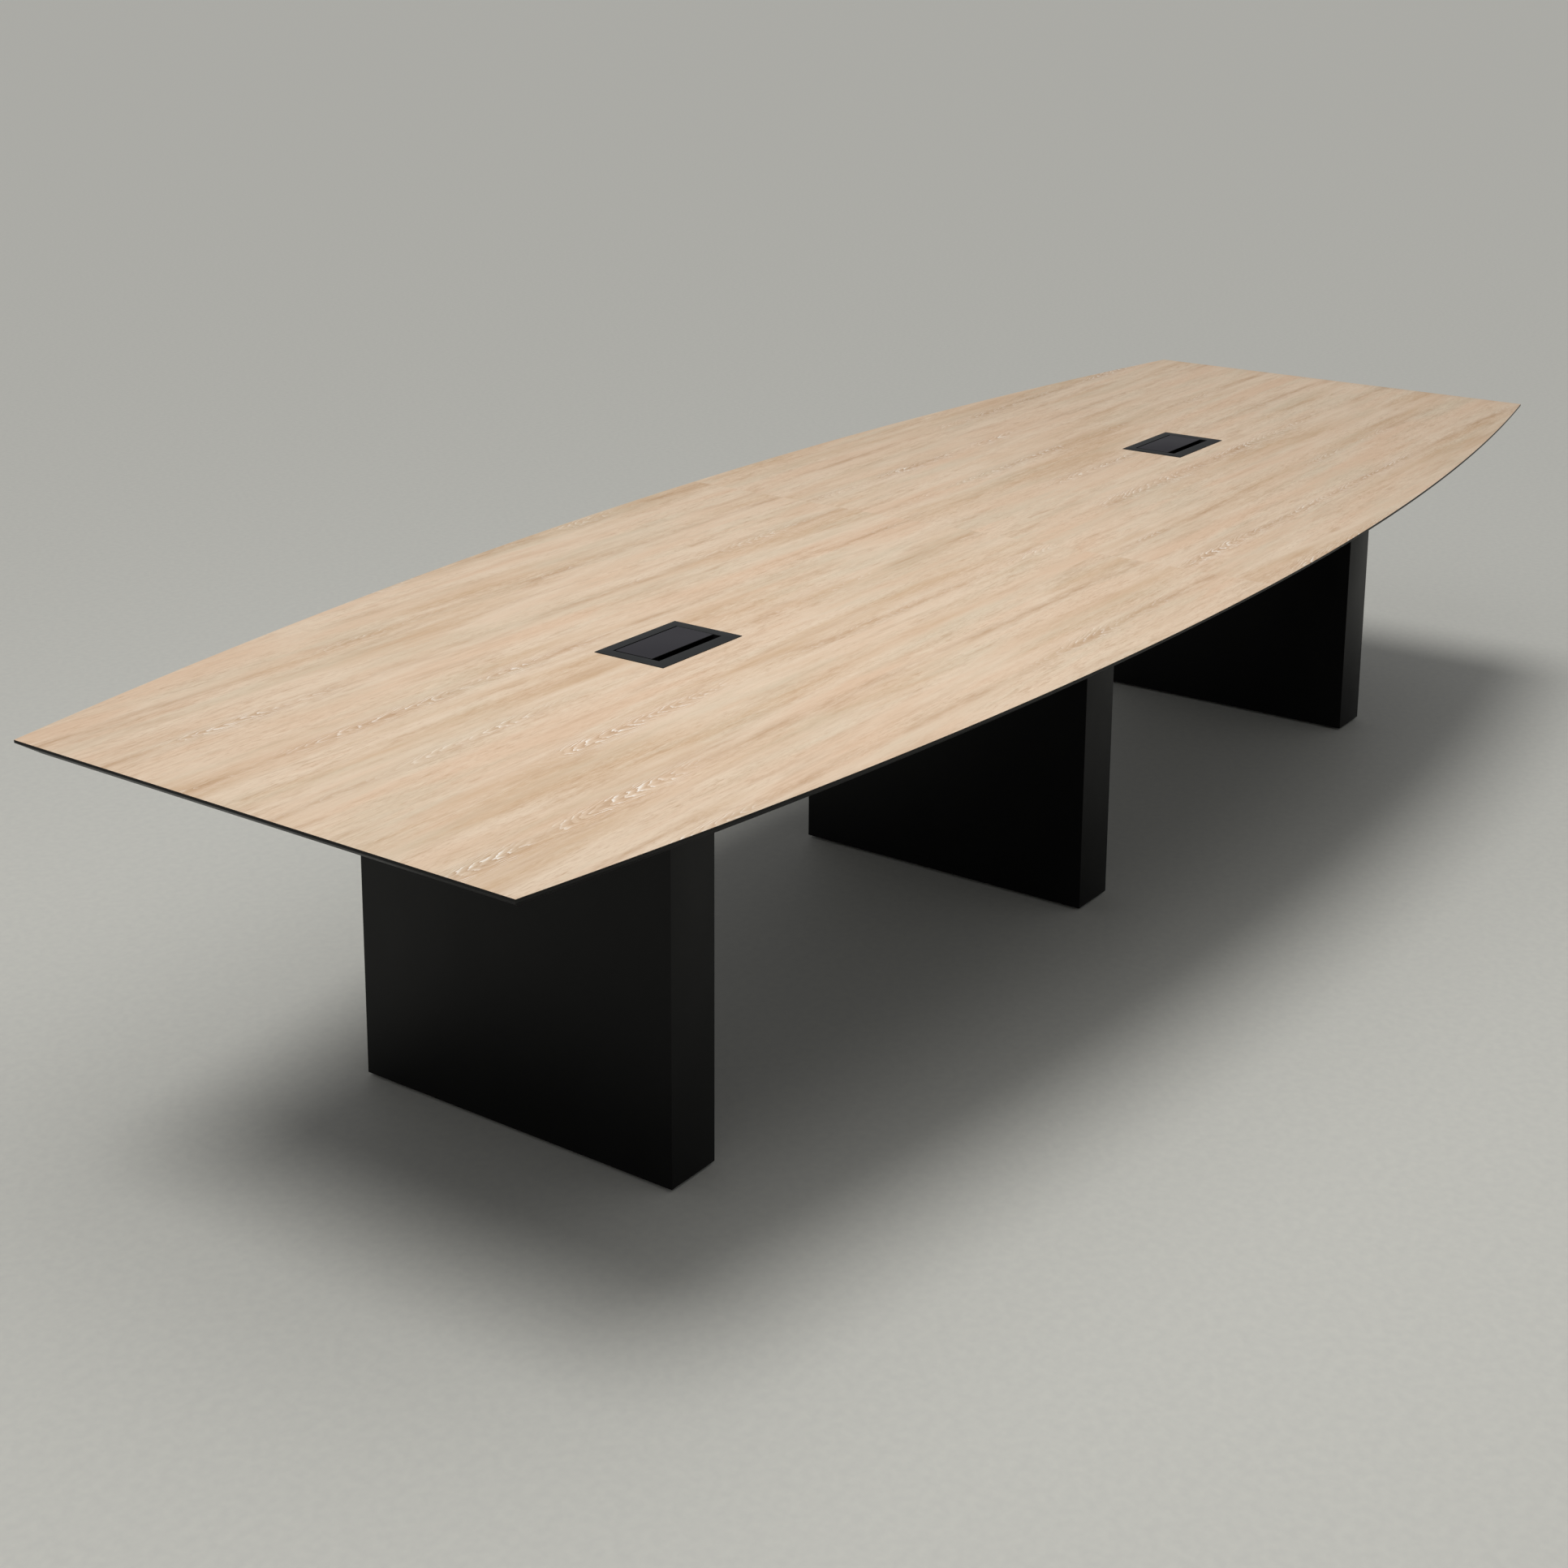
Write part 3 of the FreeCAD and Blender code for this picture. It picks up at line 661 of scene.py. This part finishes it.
def oak_sheet(name, side):
    """Sheet of one half of the top."""
    let_go()
    bpy.ops.mesh.primitive_plane_add(size=1, location=(0, -half_width, face_z))
    sheet = bpy.context.object
    sheet.name = name + "_oak_sheet"
    bpy.ops.object.transform_apply()
    open_up(sheet)
    bpy.ops.mesh.merge(type="CENTER")
    spin(side * half_swing, (0, arc_centre, face_z), ARC_STEPS)
    bpy.ops.mesh.select_all(action="SELECT")
    bpy.ops.mesh.duplicate()
    bpy.ops.transform.resize(value=(1, -1, 1), center_override=(0, 0, 0))
    bpy.ops.mesh.select_all(action="SELECT")
    bpy.ops.mesh.bridge_edge_loops()

    low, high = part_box(name + "_box_tray")
    room = Vector((LAMINATE_ROOM, LAMINATE_ROOM, 0))
    low, high = low - room, high + room
    slice_both_ways(low)
    slice_both_ways(high)
    pick("FACE", lambda face: within(middle(face), low, high))
    bpy.ops.mesh.delete(type="FACE")
    bpy.ops.mesh.select_all(action="SELECT")
    extrude((0, 0, core_z - face_z))
    face_outwards()
    pick("EDGE", on_outline)
    ease(ARRIS)
    two_finishes(sheet, oaks[name], finishes["edge_black"], lambda face: face.normal.z < FACE_TILT)
    return hand_over(sheet, "oak_laminate", "table", name + "_top_laminate")


for name, side in HALVES.items():
    sheet = oak_sheet(name, side)
    print(sheet.name, "faces:", len(sheet.data.polygons))

# %% [markdown]
# ## The section of the black edge
# The core is lipped with solid black edging. It is cut back underneath, so that from above only a
# thin nose shows and the top looks lighter than it is. Its section is a plane whose lower outer
# corner is raised to the nose. A tongue on the inside sits in a groove in the core.

# %% Section of the edging
EDGING_DEPTH = 32 * MM      # from the table's edge in to the core
NOSE_HEIGHT = 5 * MM        # upright part of the edge, with the sheet on it
NOSE_ROUNDING = 1.0 * MM
TONGUE_DEPTH = 8 * MM
TONGUE_HALF = 4 * MM
IN_LINE = 0.01              # edges that turn by less than this, in radians, are one
edging_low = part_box("near_front_lipping")[0].z
core_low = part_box("near_top_panel")[0].z
tongue_z = (core_low + core_z) / 2


def edging_section(name):
    """Section of the edging in the plane x = 0, with the table's edge on the front side."""
    let_go()
    centre = (0, EDGING_DEPTH / 2 - half_width, (edging_low + core_z) / 2)
    bpy.ops.mesh.primitive_plane_add(size=1, location=centre, rotation=(0, math.pi / 2, 0))
    section = bpy.context.object
    section.name = name
    section.scale = (core_z - edging_low, EDGING_DEPTH, 1)
    bpy.ops.object.transform_apply()
    open_up(section)
    for z in (tongue_z - TONGUE_HALF, tongue_z + TONGUE_HALF):
        slice_at((0, 0, z), (0, 0, 1))
    inner = EDGING_DEPTH - half_width
    pick("EDGE", lambda edge: near(middle(edge).y, inner) and near(middle(edge).z, tongue_z))
    extrude((0, TONGUE_DEPTH, 0))
    bpy.ops.mesh.select_all(action="SELECT")
    bpy.ops.mesh.remove_doubles(threshold=MERGE)
    bpy.ops.mesh.dissolve_limited(angle_limit=IN_LINE)
    pick("VERT", lambda vert: near(vert.co.y, -half_width) and near(vert.co.z, edging_low))
    bpy.ops.transform.translate(value=(0, 0, face_z - NOSE_HEIGHT - edging_low))
    bpy.ops.mesh.bevel(offset=NOSE_ROUNDING, segments=3, affect="VERTICES")
    bpy.ops.mesh.select_all(action="SELECT")
    return section


print("edging:", round((core_z - edging_low) / MM, 2), "mm high, nose:", round(NOSE_HEIGHT / MM), "mm")

# %% [markdown]
# ## The edge round the top
# The long sides follow the bow, so their section is spun about the same centre as the sheet. The
# ends are straight, so theirs is turned and extruded. The corners are mitred with one slice each,
# along the line from the outer corner to the inner one. One side and one end are modelled, and
# mirrored copies make the others.

# %% Edging of the long sides and the ends
MITRE_SPARE = 0.004         # extra swing, in radians, that the mitre then cuts away
corner = Vector((-half_length, -end_half_width, 0))
mitre_inset = EDGING_DEPTH + TONGUE_DEPTH
mitre_x = half_length - mitre_inset
mitre_run = Vector((-mitre_x, -edge_y(mitre_x, mitre_inset), 0)) - corner
mitre_normal = Vector((-mitre_run.y, mitre_run.x, 0)).normalized()


def side_edging():
    """Edging of the near half's front side."""
    piece = edging_section("near_front_edging")
    spin(-half_swing - MITRE_SPARE, (0, arc_centre, 0), ARC_STEPS)
    face_outwards()
    cut_off(corner, mitre_normal)
    face_outwards()
    return piece


def end_edging():
    """Straight edging of the near end, from mitre to mitre."""
    piece = edging_section("near_end_edging")
    take(piece)
    piece.location = (0, half_width, 0)
    bpy.ops.object.transform_apply()
    piece.rotation_euler = (0, 0, -math.pi / 2)
    bpy.ops.object.transform_apply()
    piece.location = (-half_length, half_width, 0)
    bpy.ops.object.transform_apply()
    open_up(piece)
    extrude((0, -2 * half_width, 0))
    face_outwards()
    for side in (1, -1):
        cut_off((corner.x, side * corner.y, 0), (-mitre_normal.x, -side * mitre_normal.y, 0))
    face_outwards()
    return piece


first_side = side_edging()
first_end = end_edging()
edgings = {
    "near_end": first_end,
    "far_end": copy_of(first_end, "far_end_edging", flip=(-1, 1, 1)),
    "near_front": first_side,
    "near_back": copy_of(first_side, "near_back_edging", flip=(1, -1, 1)),
    "far_front": copy_of(first_side, "far_front_edging", flip=(-1, 1, 1)),
    "far_back": copy_of(first_side, "far_back_edging", flip=(-1, -1, 1)),
}
for place, piece in edgings.items():
    hand_over(piece, "edge_black", "table", place + "_lipping")
    print(piece.name, "faces:", len(piece.data.polygons))

# %% [markdown]
# ## The slabs
# A base is a hollow box of four black panels, mitred at the corners so that no edge of board
# shows. Each panel starts as the whole slab with its four uprights eased. One slice takes the slab
# down to the panel's thickness, and two more cut the mitres. The four panels are modelled once, on
# the middle base, and copied to the other two.

# %% Panels of the bases
UPRIGHT_EASE, UPRIGHT_STEPS = 1.0 * MM, 4
FOOT_EASE = 0.6 * MM
BASES = ("near_base", "middle_base", "far_base")
PANELS = {"near_face": (0, -1), "far_face": (0, 1), "front_end": (1, -1), "back_end": (1, 1)}
face_low, face_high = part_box("middle_base_near_face")
end_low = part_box("middle_base_front_end")[0]
slab_low = Vector((face_low.x, end_low.y, face_low.z))
slab_high = Vector((-face_low.x, -end_low.y, face_high.z))
wall = face_high.x - face_low.x


def level_vector(axis, out, along):
    """Level vector with one part along an axis, 0 for X or 1 for Y, and one part across it."""
    return Vector((out, along, 0)) if axis == 0 else Vector((along, out, 0))


def slab_panel(name, axis, side):
    """Panel on one side of the middle base, looking out along X or Y."""
    piece = block(name, slab_low, slab_high)
    pick("EDGE", lambda edge: abs(edge.verts[0].co.z - edge.verts[1].co.z) > wall)
    ease(UPRIGHT_EASE, UPRIGHT_STEPS)
    outer = side * slab_high[axis]
    cut_off(level_vector(axis, outer - side * wall, 0), level_vector(axis, -side, 0))
    for end in (-1, 1):
        upright = level_vector(axis, outer, end * slab_high[1 - axis])
        cut_off(upright, level_vector(axis, -side, end))
    face_outwards()
    pick("EDGE", lambda edge: near(middle(edge)[axis], outer) and near(middle(edge).z, slab_low.z))
    ease(FOOT_EASE)
    return piece


for panel_name, way in PANELS.items():
    first = slab_panel("middle_base_" + panel_name + "_panel", *way)
    for base in ("near_base", "far_base"):
        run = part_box(base + "_near_face")[0].x - face_low.x
        copy = copy_of(first, f"{base}_{panel_name}_panel", shift=(run, 0, 0))
        hand_over(copy, "base_black", "table", f"{base}_{panel_name}")
    hand_over(first, "base_black", "table", "middle_base_" + panel_name)
    print(first.name, "faces:", len(first.data.polygons))

# %% [markdown]
# ## The hinge of a power box
# The lid of a power box turns on a barrel under its back edge, with a pin in each end wall of the
# frame. Barrel, pins and pin holes are cylinders along one line. A Boolean modifier joins such a
# cylinder to a piece or cuts it out, is applied, and its tool is thrown away.

# %% Helpers for the boxes
BOXES = ("near_box", "far_box")
END_FLANGE, BACK_FLANGE, FRONT_FLANGE = 24 * MM, 22 * MM, 28 * MM
HINGE_SETBACK, HINGE_DROP = 4 * MM, 4.5 * MM


def opening(name):
    """Corners of the opening in a box's frame."""
    low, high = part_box(name + "_bezel")
    return (Vector((low.x + END_FLANGE, low.y + FRONT_FLANGE, low.z)),
            Vector((high.x - END_FLANGE, high.y - BACK_FLANGE, high.z)))


def hinge_line(name):
    """Middle of the hinge axis of a box's lid."""
    low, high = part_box(name + "_lid")
    return Vector(((low.x + high.x) / 2, high.y - HINGE_SETBACK, high.z - HINGE_DROP))


def hinge_rod(name, place, radius, length):
    """A cylinder along X, opened up for editing."""
    let_go()
    bpy.ops.mesh.primitive_cylinder_add(vertices=32, radius=radius, depth=length, location=place,
                                        rotation=(0, math.pi / 2, 0))
    rod = bpy.context.object
    rod.name = name
    bpy.ops.object.transform_apply()
    open_up(rod)
    return rod


def combine(piece, tool, operation):
    """Join a tool to a piece, or cut it out, and throw the tool away."""
    take(piece)
    modifier = piece.modifiers.new("combine", "BOOLEAN")
    modifier.operation = operation
    modifier.solver = "EXACT"
    modifier.object = tool
    bpy.ops.object.modifier_apply(modifier=modifier.name)
    bpy.data.objects.remove(tool)


for name in BOXES:
    print(name, "hinge at", [round(v, 4) for v in hinge_line(name)])

# %% [markdown]
# ## The frames of the power boxes
# Each box has an aluminium frame that lies on the top, with a skirt down into the opening. It
# starts as a plate, is sliced along the opening and has its skirt extruded downwards. A rest for
# the lid is extruded out of each end wall, and one long rod cuts both walls' pin holes. Inside,
# and on its eased rim round the opening, the frame has the darker black of the tray. This is
# partly the frame's own black and partly painted shade, which makes the gap round the lid look darker.

# %% Frames of the boxes
SKIRT_WALL = 2.5 * MM
FRAME_EASE = 0.8 * MM
RIM_EASE = 0.4 * MM
LID_THICKNESS = 2 * MM
PIN_RADIUS, PIN_ROOM = 2 * MM, 0.05 * MM
REST_REACH, REST_WIDTH, REST_HEIGHT, REST_OFFSET = 3 * MM, 20 * MM, 3 * MM, 6 * MM
UPWARDS = 0.95              # a level face looks up at least this much
STRAIGHT = 0.9              # part of a normal that lies along the way its face looks


def lid_rest(end_x, side, front_y, top_z):
    """Extrude one rest for the lid out of an end wall of the opening."""
    back_y, low_z = front_y + REST_WIDTH, top_z - REST_HEIGHT
    cuts = [((0, y, 0), (0, 1, 0)) for y in (front_y, back_y)]
    cuts += [((0, 0, z), (0, 0, 1)) for z in (top_z, low_z)]
    for point, normal in cuts:
        pick("FACE", lambda face: near(middle(face).x, end_x)
             and face.normal.x * side < -STRAIGHT)
        bpy.ops.mesh.bisect(plane_co=point, plane_no=normal)
    pick("FACE", lambda face: near(middle(face).x, end_x)
         and front_y < middle(face).y < back_y and low_z < middle(face).z < top_z)
    extrude((-side * REST_REACH, 0, 0))


def box_frame(name):
    """Frame of a box, with its skirt, the rests of its lid and the holes for its pins."""
    low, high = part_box(name + "_bezel")
    hole_low, hole_high = opening(name)
    skirt = Vector((SKIRT_WALL, SKIRT_WALL, 0))
    skirt_low, skirt_high = hole_low - skirt, hole_high + skirt
    rim = Vector((MM, MM, 0))
    rim_low, rim_high = hole_low - rim, hole_high + rim
    piece = block(name + "_frame", (low.x, low.y, face_z), high)
    for point in (hole_low, hole_high, skirt_low, skirt_high):
        slice_both_ways(point)
    pick("FACE", lambda face: within(middle(face), hole_low, hole_high))
    bpy.ops.mesh.delete(type="FACE")
    pick("EDGE", lambda edge: edge.is_boundary)
    bpy.ops.mesh.bridge_edge_loops()
    face_outwards()
    pick("FACE", lambda face: face.normal.z < -STRAIGHT
         and within(middle(face), skirt_low, skirt_high))
    extrude((0, 0, low.z - face_z))
    lid_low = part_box(name + "_lid")[0]
    for end_x, side in ((hole_low.x, -1), (hole_high.x, 1)):
        lid_rest(end_x, side, lid_low.y + REST_OFFSET, high.z - LID_THICKNESS)
    face_outwards()

    def in_line(edge, corners):
        """Edge of the frame's upper face in line with one of two corners."""
        place = middle(edge)
        x_side = any(near(place.x, point.x) for point in corners)
        y_side = any(near(place.y, point.y) for point in corners)
        return near(place.z, high.z) and (x_side or y_side)

    pick("EDGE", lambda edge: in_line(edge, (low, high)))
    ease(FRAME_EASE)
    pick("EDGE", lambda edge: in_line(edge, (hole_low, hole_high))
         and within(middle(edge), rim_low, rim_high))
    ease(RIM_EASE)
    reach = 2 * (hole_high.x - hole_low.x)
    rod = hinge_rod("pin_hole", hinge_line(name), PIN_RADIUS + PIN_ROOM, reach)
    combine(piece, rod, "DIFFERENCE")
    # Painted shade: the skirt and the eased rim round the opening take the tray's darker black, so that
    # the gap round the lid looks darker.
    two_finishes(piece, finishes["box_black"], finishes["tray_black"],
                 lambda face: middle(face).z < face_z
                 or (face.normal.z < UPWARDS and within(middle(face), rim_low, rim_high)))
    return hand_over(piece, "box_black", "table", name + "_bezel")


for name in BOXES:
    piece = box_frame(name)
    print(piece.name, "faces:", len(piece.data.polygons))

# %% [markdown]
# ## The lids of the power boxes
# A lid is flush with its frame and stops short at the front, so that cables can come out under it
# with the lid shut. It is a plate whose front edge is thinned from below for a finger, and a
# Boolean joins its barrel on. A lid that hangs on pins lies a little to one side, so the gap at its
# near end is wider than the one at its far end.

# %% Lids of the boxes
LID_NEAR_GAP, LID_FAR_GAP = 2.4 * MM, 0.6 * MM
FRONT_LAND, FRONT_BEVEL = 0.8 * MM, 4 * MM
LID_EASE = 0.5 * MM
BARREL_RADIUS = 3 * MM


def box_lid(name):
    """Lid of a box, with its barrel and pins."""
    low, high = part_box(name + "_lid")
    hole_low, hole_high = opening(name)
    x_low, x_high = hole_low.x + LID_NEAR_GAP, hole_high.x - LID_FAR_GAP
    under = high.z - LID_THICKNESS
    bevel_y = low.y + FRONT_BEVEL
    piece = block(name + "_flap", (x_low, low.y, under), (x_high, high.y, high.z))
    slice_at((0, bevel_y, 0), (0, 1, 0))
    pick("VERT", lambda vert: near(vert.co.y, low.y) and near(vert.co.z, under))
    bpy.ops.transform.translate(value=(0, 0, LID_THICKNESS - FRONT_LAND))
    pick("EDGE", lambda edge: near(middle(edge).z, high.z) and not near(middle(edge).y, bevel_y))
    ease(LID_EASE)

    barrel = hinge_rod(name + "_barrel", hinge_line(name), BARREL_RADIUS, x_high - x_low)
    for end_x, pin_end in ((x_low, low.x), (x_high, high.x)):
        pick("FACE", lambda face: near(middle(face).x, end_x) and len(face.verts) > 4)
        bpy.ops.mesh.inset(thickness=BARREL_RADIUS - PIN_RADIUS)
        extrude((pin_end - end_x, 0, 0))
    combine(piece, barrel, "UNION")
    # Painted shade: every face of the lid that does not look up, its eased edges and ends among them,
    # gets the tray's darker black, so that the gaps round the lid look darker.
    two_finishes(piece, lid_finish, finishes["tray_black"], lambda face: face.normal.z < UPWARDS)
    return hand_over(piece, "box_black", name + "_lid", name + "_lid")


for name in BOXES:
    piece = box_lid(name)
    print(piece.name, "faces:", len(piece.data.polygons))

# %% [markdown]
# ## The glides
# Every slab stands on four levelling glides: a nylon foot with six flats, which takes a spanner, on
# a zinc stem that screws up into the slab. A cylinder with six sides is the foot. Its uprights and
# its sole are eased, and the sole is hollowed a little, so that it stands on its rim. A Boolean
# joins the stem on. One glide is modelled, and the others are copies.

# %% Levelling glides
STEM_RADIUS = 3.7 * MM
PAD_EASE, SOLE_EASE, STEM_EASE = 1.0 * MM, 1.5 * MM, 0.8 * MM
SOLE_RIM, SOLE_HOLLOW = 4 * MM, 0.5 * MM
pad_low, pad_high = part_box("near_base_glide_1")
pad_radius = (pad_high.x - pad_low.x) / 2
pad_height = slab_low.z - pad_low.z


def flat_face(z, way):
    """Pick the level face at a height that looks up or down."""
    pick("FACE", lambda face: near(middle(face).z, z) and face.normal.z * way > STRAIGHT)


def first_glide():
    """A glide that stands on the origin."""
    let_go()
    stem_length = pad_high.z - SOLE_EASE
    bpy.ops.mesh.primitive_cylinder_add(vertices=24, radius=STEM_RADIUS, depth=stem_length,
                                        location=(0, 0, (pad_high.z + SOLE_EASE) / 2))
    stem = bpy.context.object
    open_up(stem)
    pick("EDGE", lambda edge: at_height(edge, stem_length / 2))
    ease(STEM_EASE)
    let_go()
    bpy.ops.mesh.primitive_cylinder_add(vertices=6, radius=pad_radius, depth=pad_height,
                                        location=(0, 0, pad_height / 2), rotation=(0, 0, math.pi / 6))
    piece = bpy.context.object
    piece.name = "glide"
    bpy.ops.object.transform_apply()
    open_up(piece)
    pick("EDGE", lambda edge: near(middle(edge).z, pad_height / 2))
    ease(PAD_EASE)
    pick("EDGE", lambda edge: at_height(edge, 0))
    ease(SOLE_EASE)
    flat_face(0, -1)
    bpy.ops.mesh.inset(thickness=SOLE_RIM)
    extrude((0, 0, SOLE_HOLLOW))
    face_outwards()
    combine(piece, stem, "UNION")
    two_finishes(piece, finishes["glide_nylon"], finishes["plain_steel"],
                 lambda face: middle(face).z > pad_height + STEM_EASE)
    return piece


pattern_glide = first_glide()
for base in BASES:
    for number in range(1, 5):
        node_name = f"{base}_glide_{number}"
        low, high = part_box(node_name)
        place = ((low.x + high.x) / 2, (low.y + high.y) / 2, 0)
        copy = copy_of(pattern_glide, node_name + "_foot", shift=place)
        hand_over(copy, "glide_nylon", node_name, node_name)
print("glides:", len(BASES) * 4, "faces each:", len(pattern_glide.data.polygons))
bpy.data.objects.remove(pattern_glide)

# %% [markdown]
# ## The wood screws
# Each base has a steel plate on top. Four countersunk screws go up through its two wings into the
# top, and three go down into the slab. A cone is the head, the shank is extruded from it, and two
# bars cut a cross into the head for the driver. One screw is modelled, copied to every place and
# joined into one set.

# %% Screws of the plates
SCREW_LENGTH, SCREW_RADIUS = 24 * MM, 2.3 * MM
HEAD_RADIUS, HEAD_HEIGHT = 5.2 * MM, 2.8 * MM
HEAD_PROUD = 0.2 * MM       # heads stand this much below the wings, over their countersinks
POINT_LENGTH, POINT_RADIUS = 5 * MM, 0.6 * MM
CROSS_LENGTH, CROSS_WIDTH, CROSS_DEPTH = 5.2 * MM, 1.1 * MM, 1.6 * MM
WING_INSET, END_INSET = 25 * MM, 40 * MM
RAIL_PITCH = 160 * MM


def first_screw():
    """A countersunk screw with its head down at the origin."""
    let_go()
    bpy.ops.mesh.primitive_cone_add(vertices=20, radius1=HEAD_RADIUS, radius2=SCREW_RADIUS,
                                    depth=HEAD_HEIGHT, location=(0, 0, HEAD_HEIGHT / 2))
    screw = bpy.context.object
    screw.name = "screw"
    bpy.ops.object.transform_apply()
    open_up(screw)
    flat_face(HEAD_HEIGHT, 1)
    extrude((0, 0, SCREW_LENGTH - HEAD_HEIGHT - POINT_LENGTH))
    extrude((0, 0, POINT_LENGTH))
    taper = POINT_RADIUS / SCREW_RADIUS
    bpy.ops.transform.resize(value=(taper, taper, 1), center_override=(0, 0, SCREW_LENGTH))
    for x, y in ((CROSS_LENGTH / 2, CROSS_WIDTH / 2), (CROSS_WIDTH / 2, CROSS_LENGTH / 2)):
        bar = block("cross", (-x, -y, -CROSS_DEPTH), (x, y, CROSS_DEPTH))
        combine(screw, bar, "DIFFERENCE")
    return screw


def plate_screws():
    """All the screws of the three plates in one piece."""
    pattern = first_screw()
    copies = []
    for base in BASES:
        low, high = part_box(base + "_plate")
        for x in (low.x + WING_INSET, high.x - WING_INSET):
            for y in (low.y + END_INSET, high.y - END_INSET):
                copies.append(copy_of(pattern, "wing_screw", shift=(x, y, low.z - HEAD_PROUD)))
        for step in (-1, 0, 1):
            place = ((low.x + high.x) / 2, step * RAIL_PITCH, high.z)
            copies.append(copy_of(pattern, "rail_screw", shift=place, flip=(1, 1, -1)))
    bpy.data.objects.remove(pattern)
    let_go()
    for copy in copies:
        copy.select_set(True)
    bpy.context.view_layer.objects.active = copies[0]
    bpy.ops.object.join()
    screws = bpy.context.object
    screws.name = "plate_screws"
    return hand_over(screws, "plain_steel", "table", "wood_screws")


screws = plate_screws()
print(screws.name, "faces:", len(screws.data.polygons))

# %% [markdown]
# ## Trays, sockets, clamps and plates
# These pieces are already right in shape, but their solids have knife edges that no bent sheet or
# moulding has. A copy of each solid's mesh is merged, cleaned of the lines inside its flat faces
# and given a small bevel along every sharp edge.

# %% Eased copies of the plain pieces
FLAT, SHARP = math.radians(1), math.radians(40)
SHEET_EASE, SOCKET_EASE, PLATE_EASE = 0.4 * MM, 0.35 * MM, 0.6 * MM


def eased_copy(node_name, name, width, slot_name):
    """A copy of a solid with its sharp edges rounded."""
    piece = bpy.data.objects.new(name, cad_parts[node_name].data.copy())
    bpy.context.scene.collection.objects.link(piece)
    open_up(piece)
    bpy.ops.mesh.customdata_custom_splitnormals_clear()
    bpy.ops.mesh.remove_doubles(threshold=MERGE)
    bpy.ops.mesh.dissolve_limited(angle_limit=FLAT)
    take(piece)
    modifier = piece.modifiers.new("ease", "BEVEL")
    modifier.width = width
    modifier.segments = 2
    modifier.limit_method = "ANGLE"
    modifier.angle_limit = SHARP
    bpy.ops.object.modifier_apply(modifier=modifier.name)
    return hand_over(piece, slot_name, "table", node_name)


plain = [("box_clamps", "clamp_brackets", SHEET_EASE, "tray_black")]
for name in BOXES:
    plain.append((name + "_tray", name + "_well", SHEET_EASE, "tray_black"))
    plain.append((name + "_sockets", name + "_outlets", SOCKET_EASE, "socket_plastic"))
for base in BASES:
    plain.append((base + "_plate", base + "_mount_plate", PLATE_EASE, "plate_black"))
for row in plain:
    piece = eased_copy(*row)
    print(piece.name, "faces:", len(piece.data.polygons))

# %% [markdown]
# ## The floor
# The floor is a plain pale sheet, wide enough to fill the picture. It stays a stage: it is no part
# of the table, and it keeps the table's shadow.

# %% Floor
FLOOR_SIZE = 160.0


def pale_floor():
    """Pale finish with hardly visible specks."""
    finish, shader, place = start_finish("pale_floor")
    speck = noise(finish, place, (60, 60, 60), 2, 0.5)
    colour = ramp(finish, speck, (0.3, tone(195, 194, 187)), (0.7, tone(200, 199, 191)))
    coat(finish, shader, colour, 0.6, specular=0.3)
    return finish


let_go()
bpy.ops.mesh.primitive_plane_add(size=FLOOR_SIZE)
floor = bpy.context.object
floor.name = "floor"
floor.data.materials.append(pale_floor())
print("floor:", FLOOR_SIZE, "m")

# %% [markdown]
# ## Size
# The dressed table has to stay the size of its solids; the box round the solids is written down.

# %% Box of the solids
print("solids:", [[round(x, 4) for x in v] for v in solid_box])
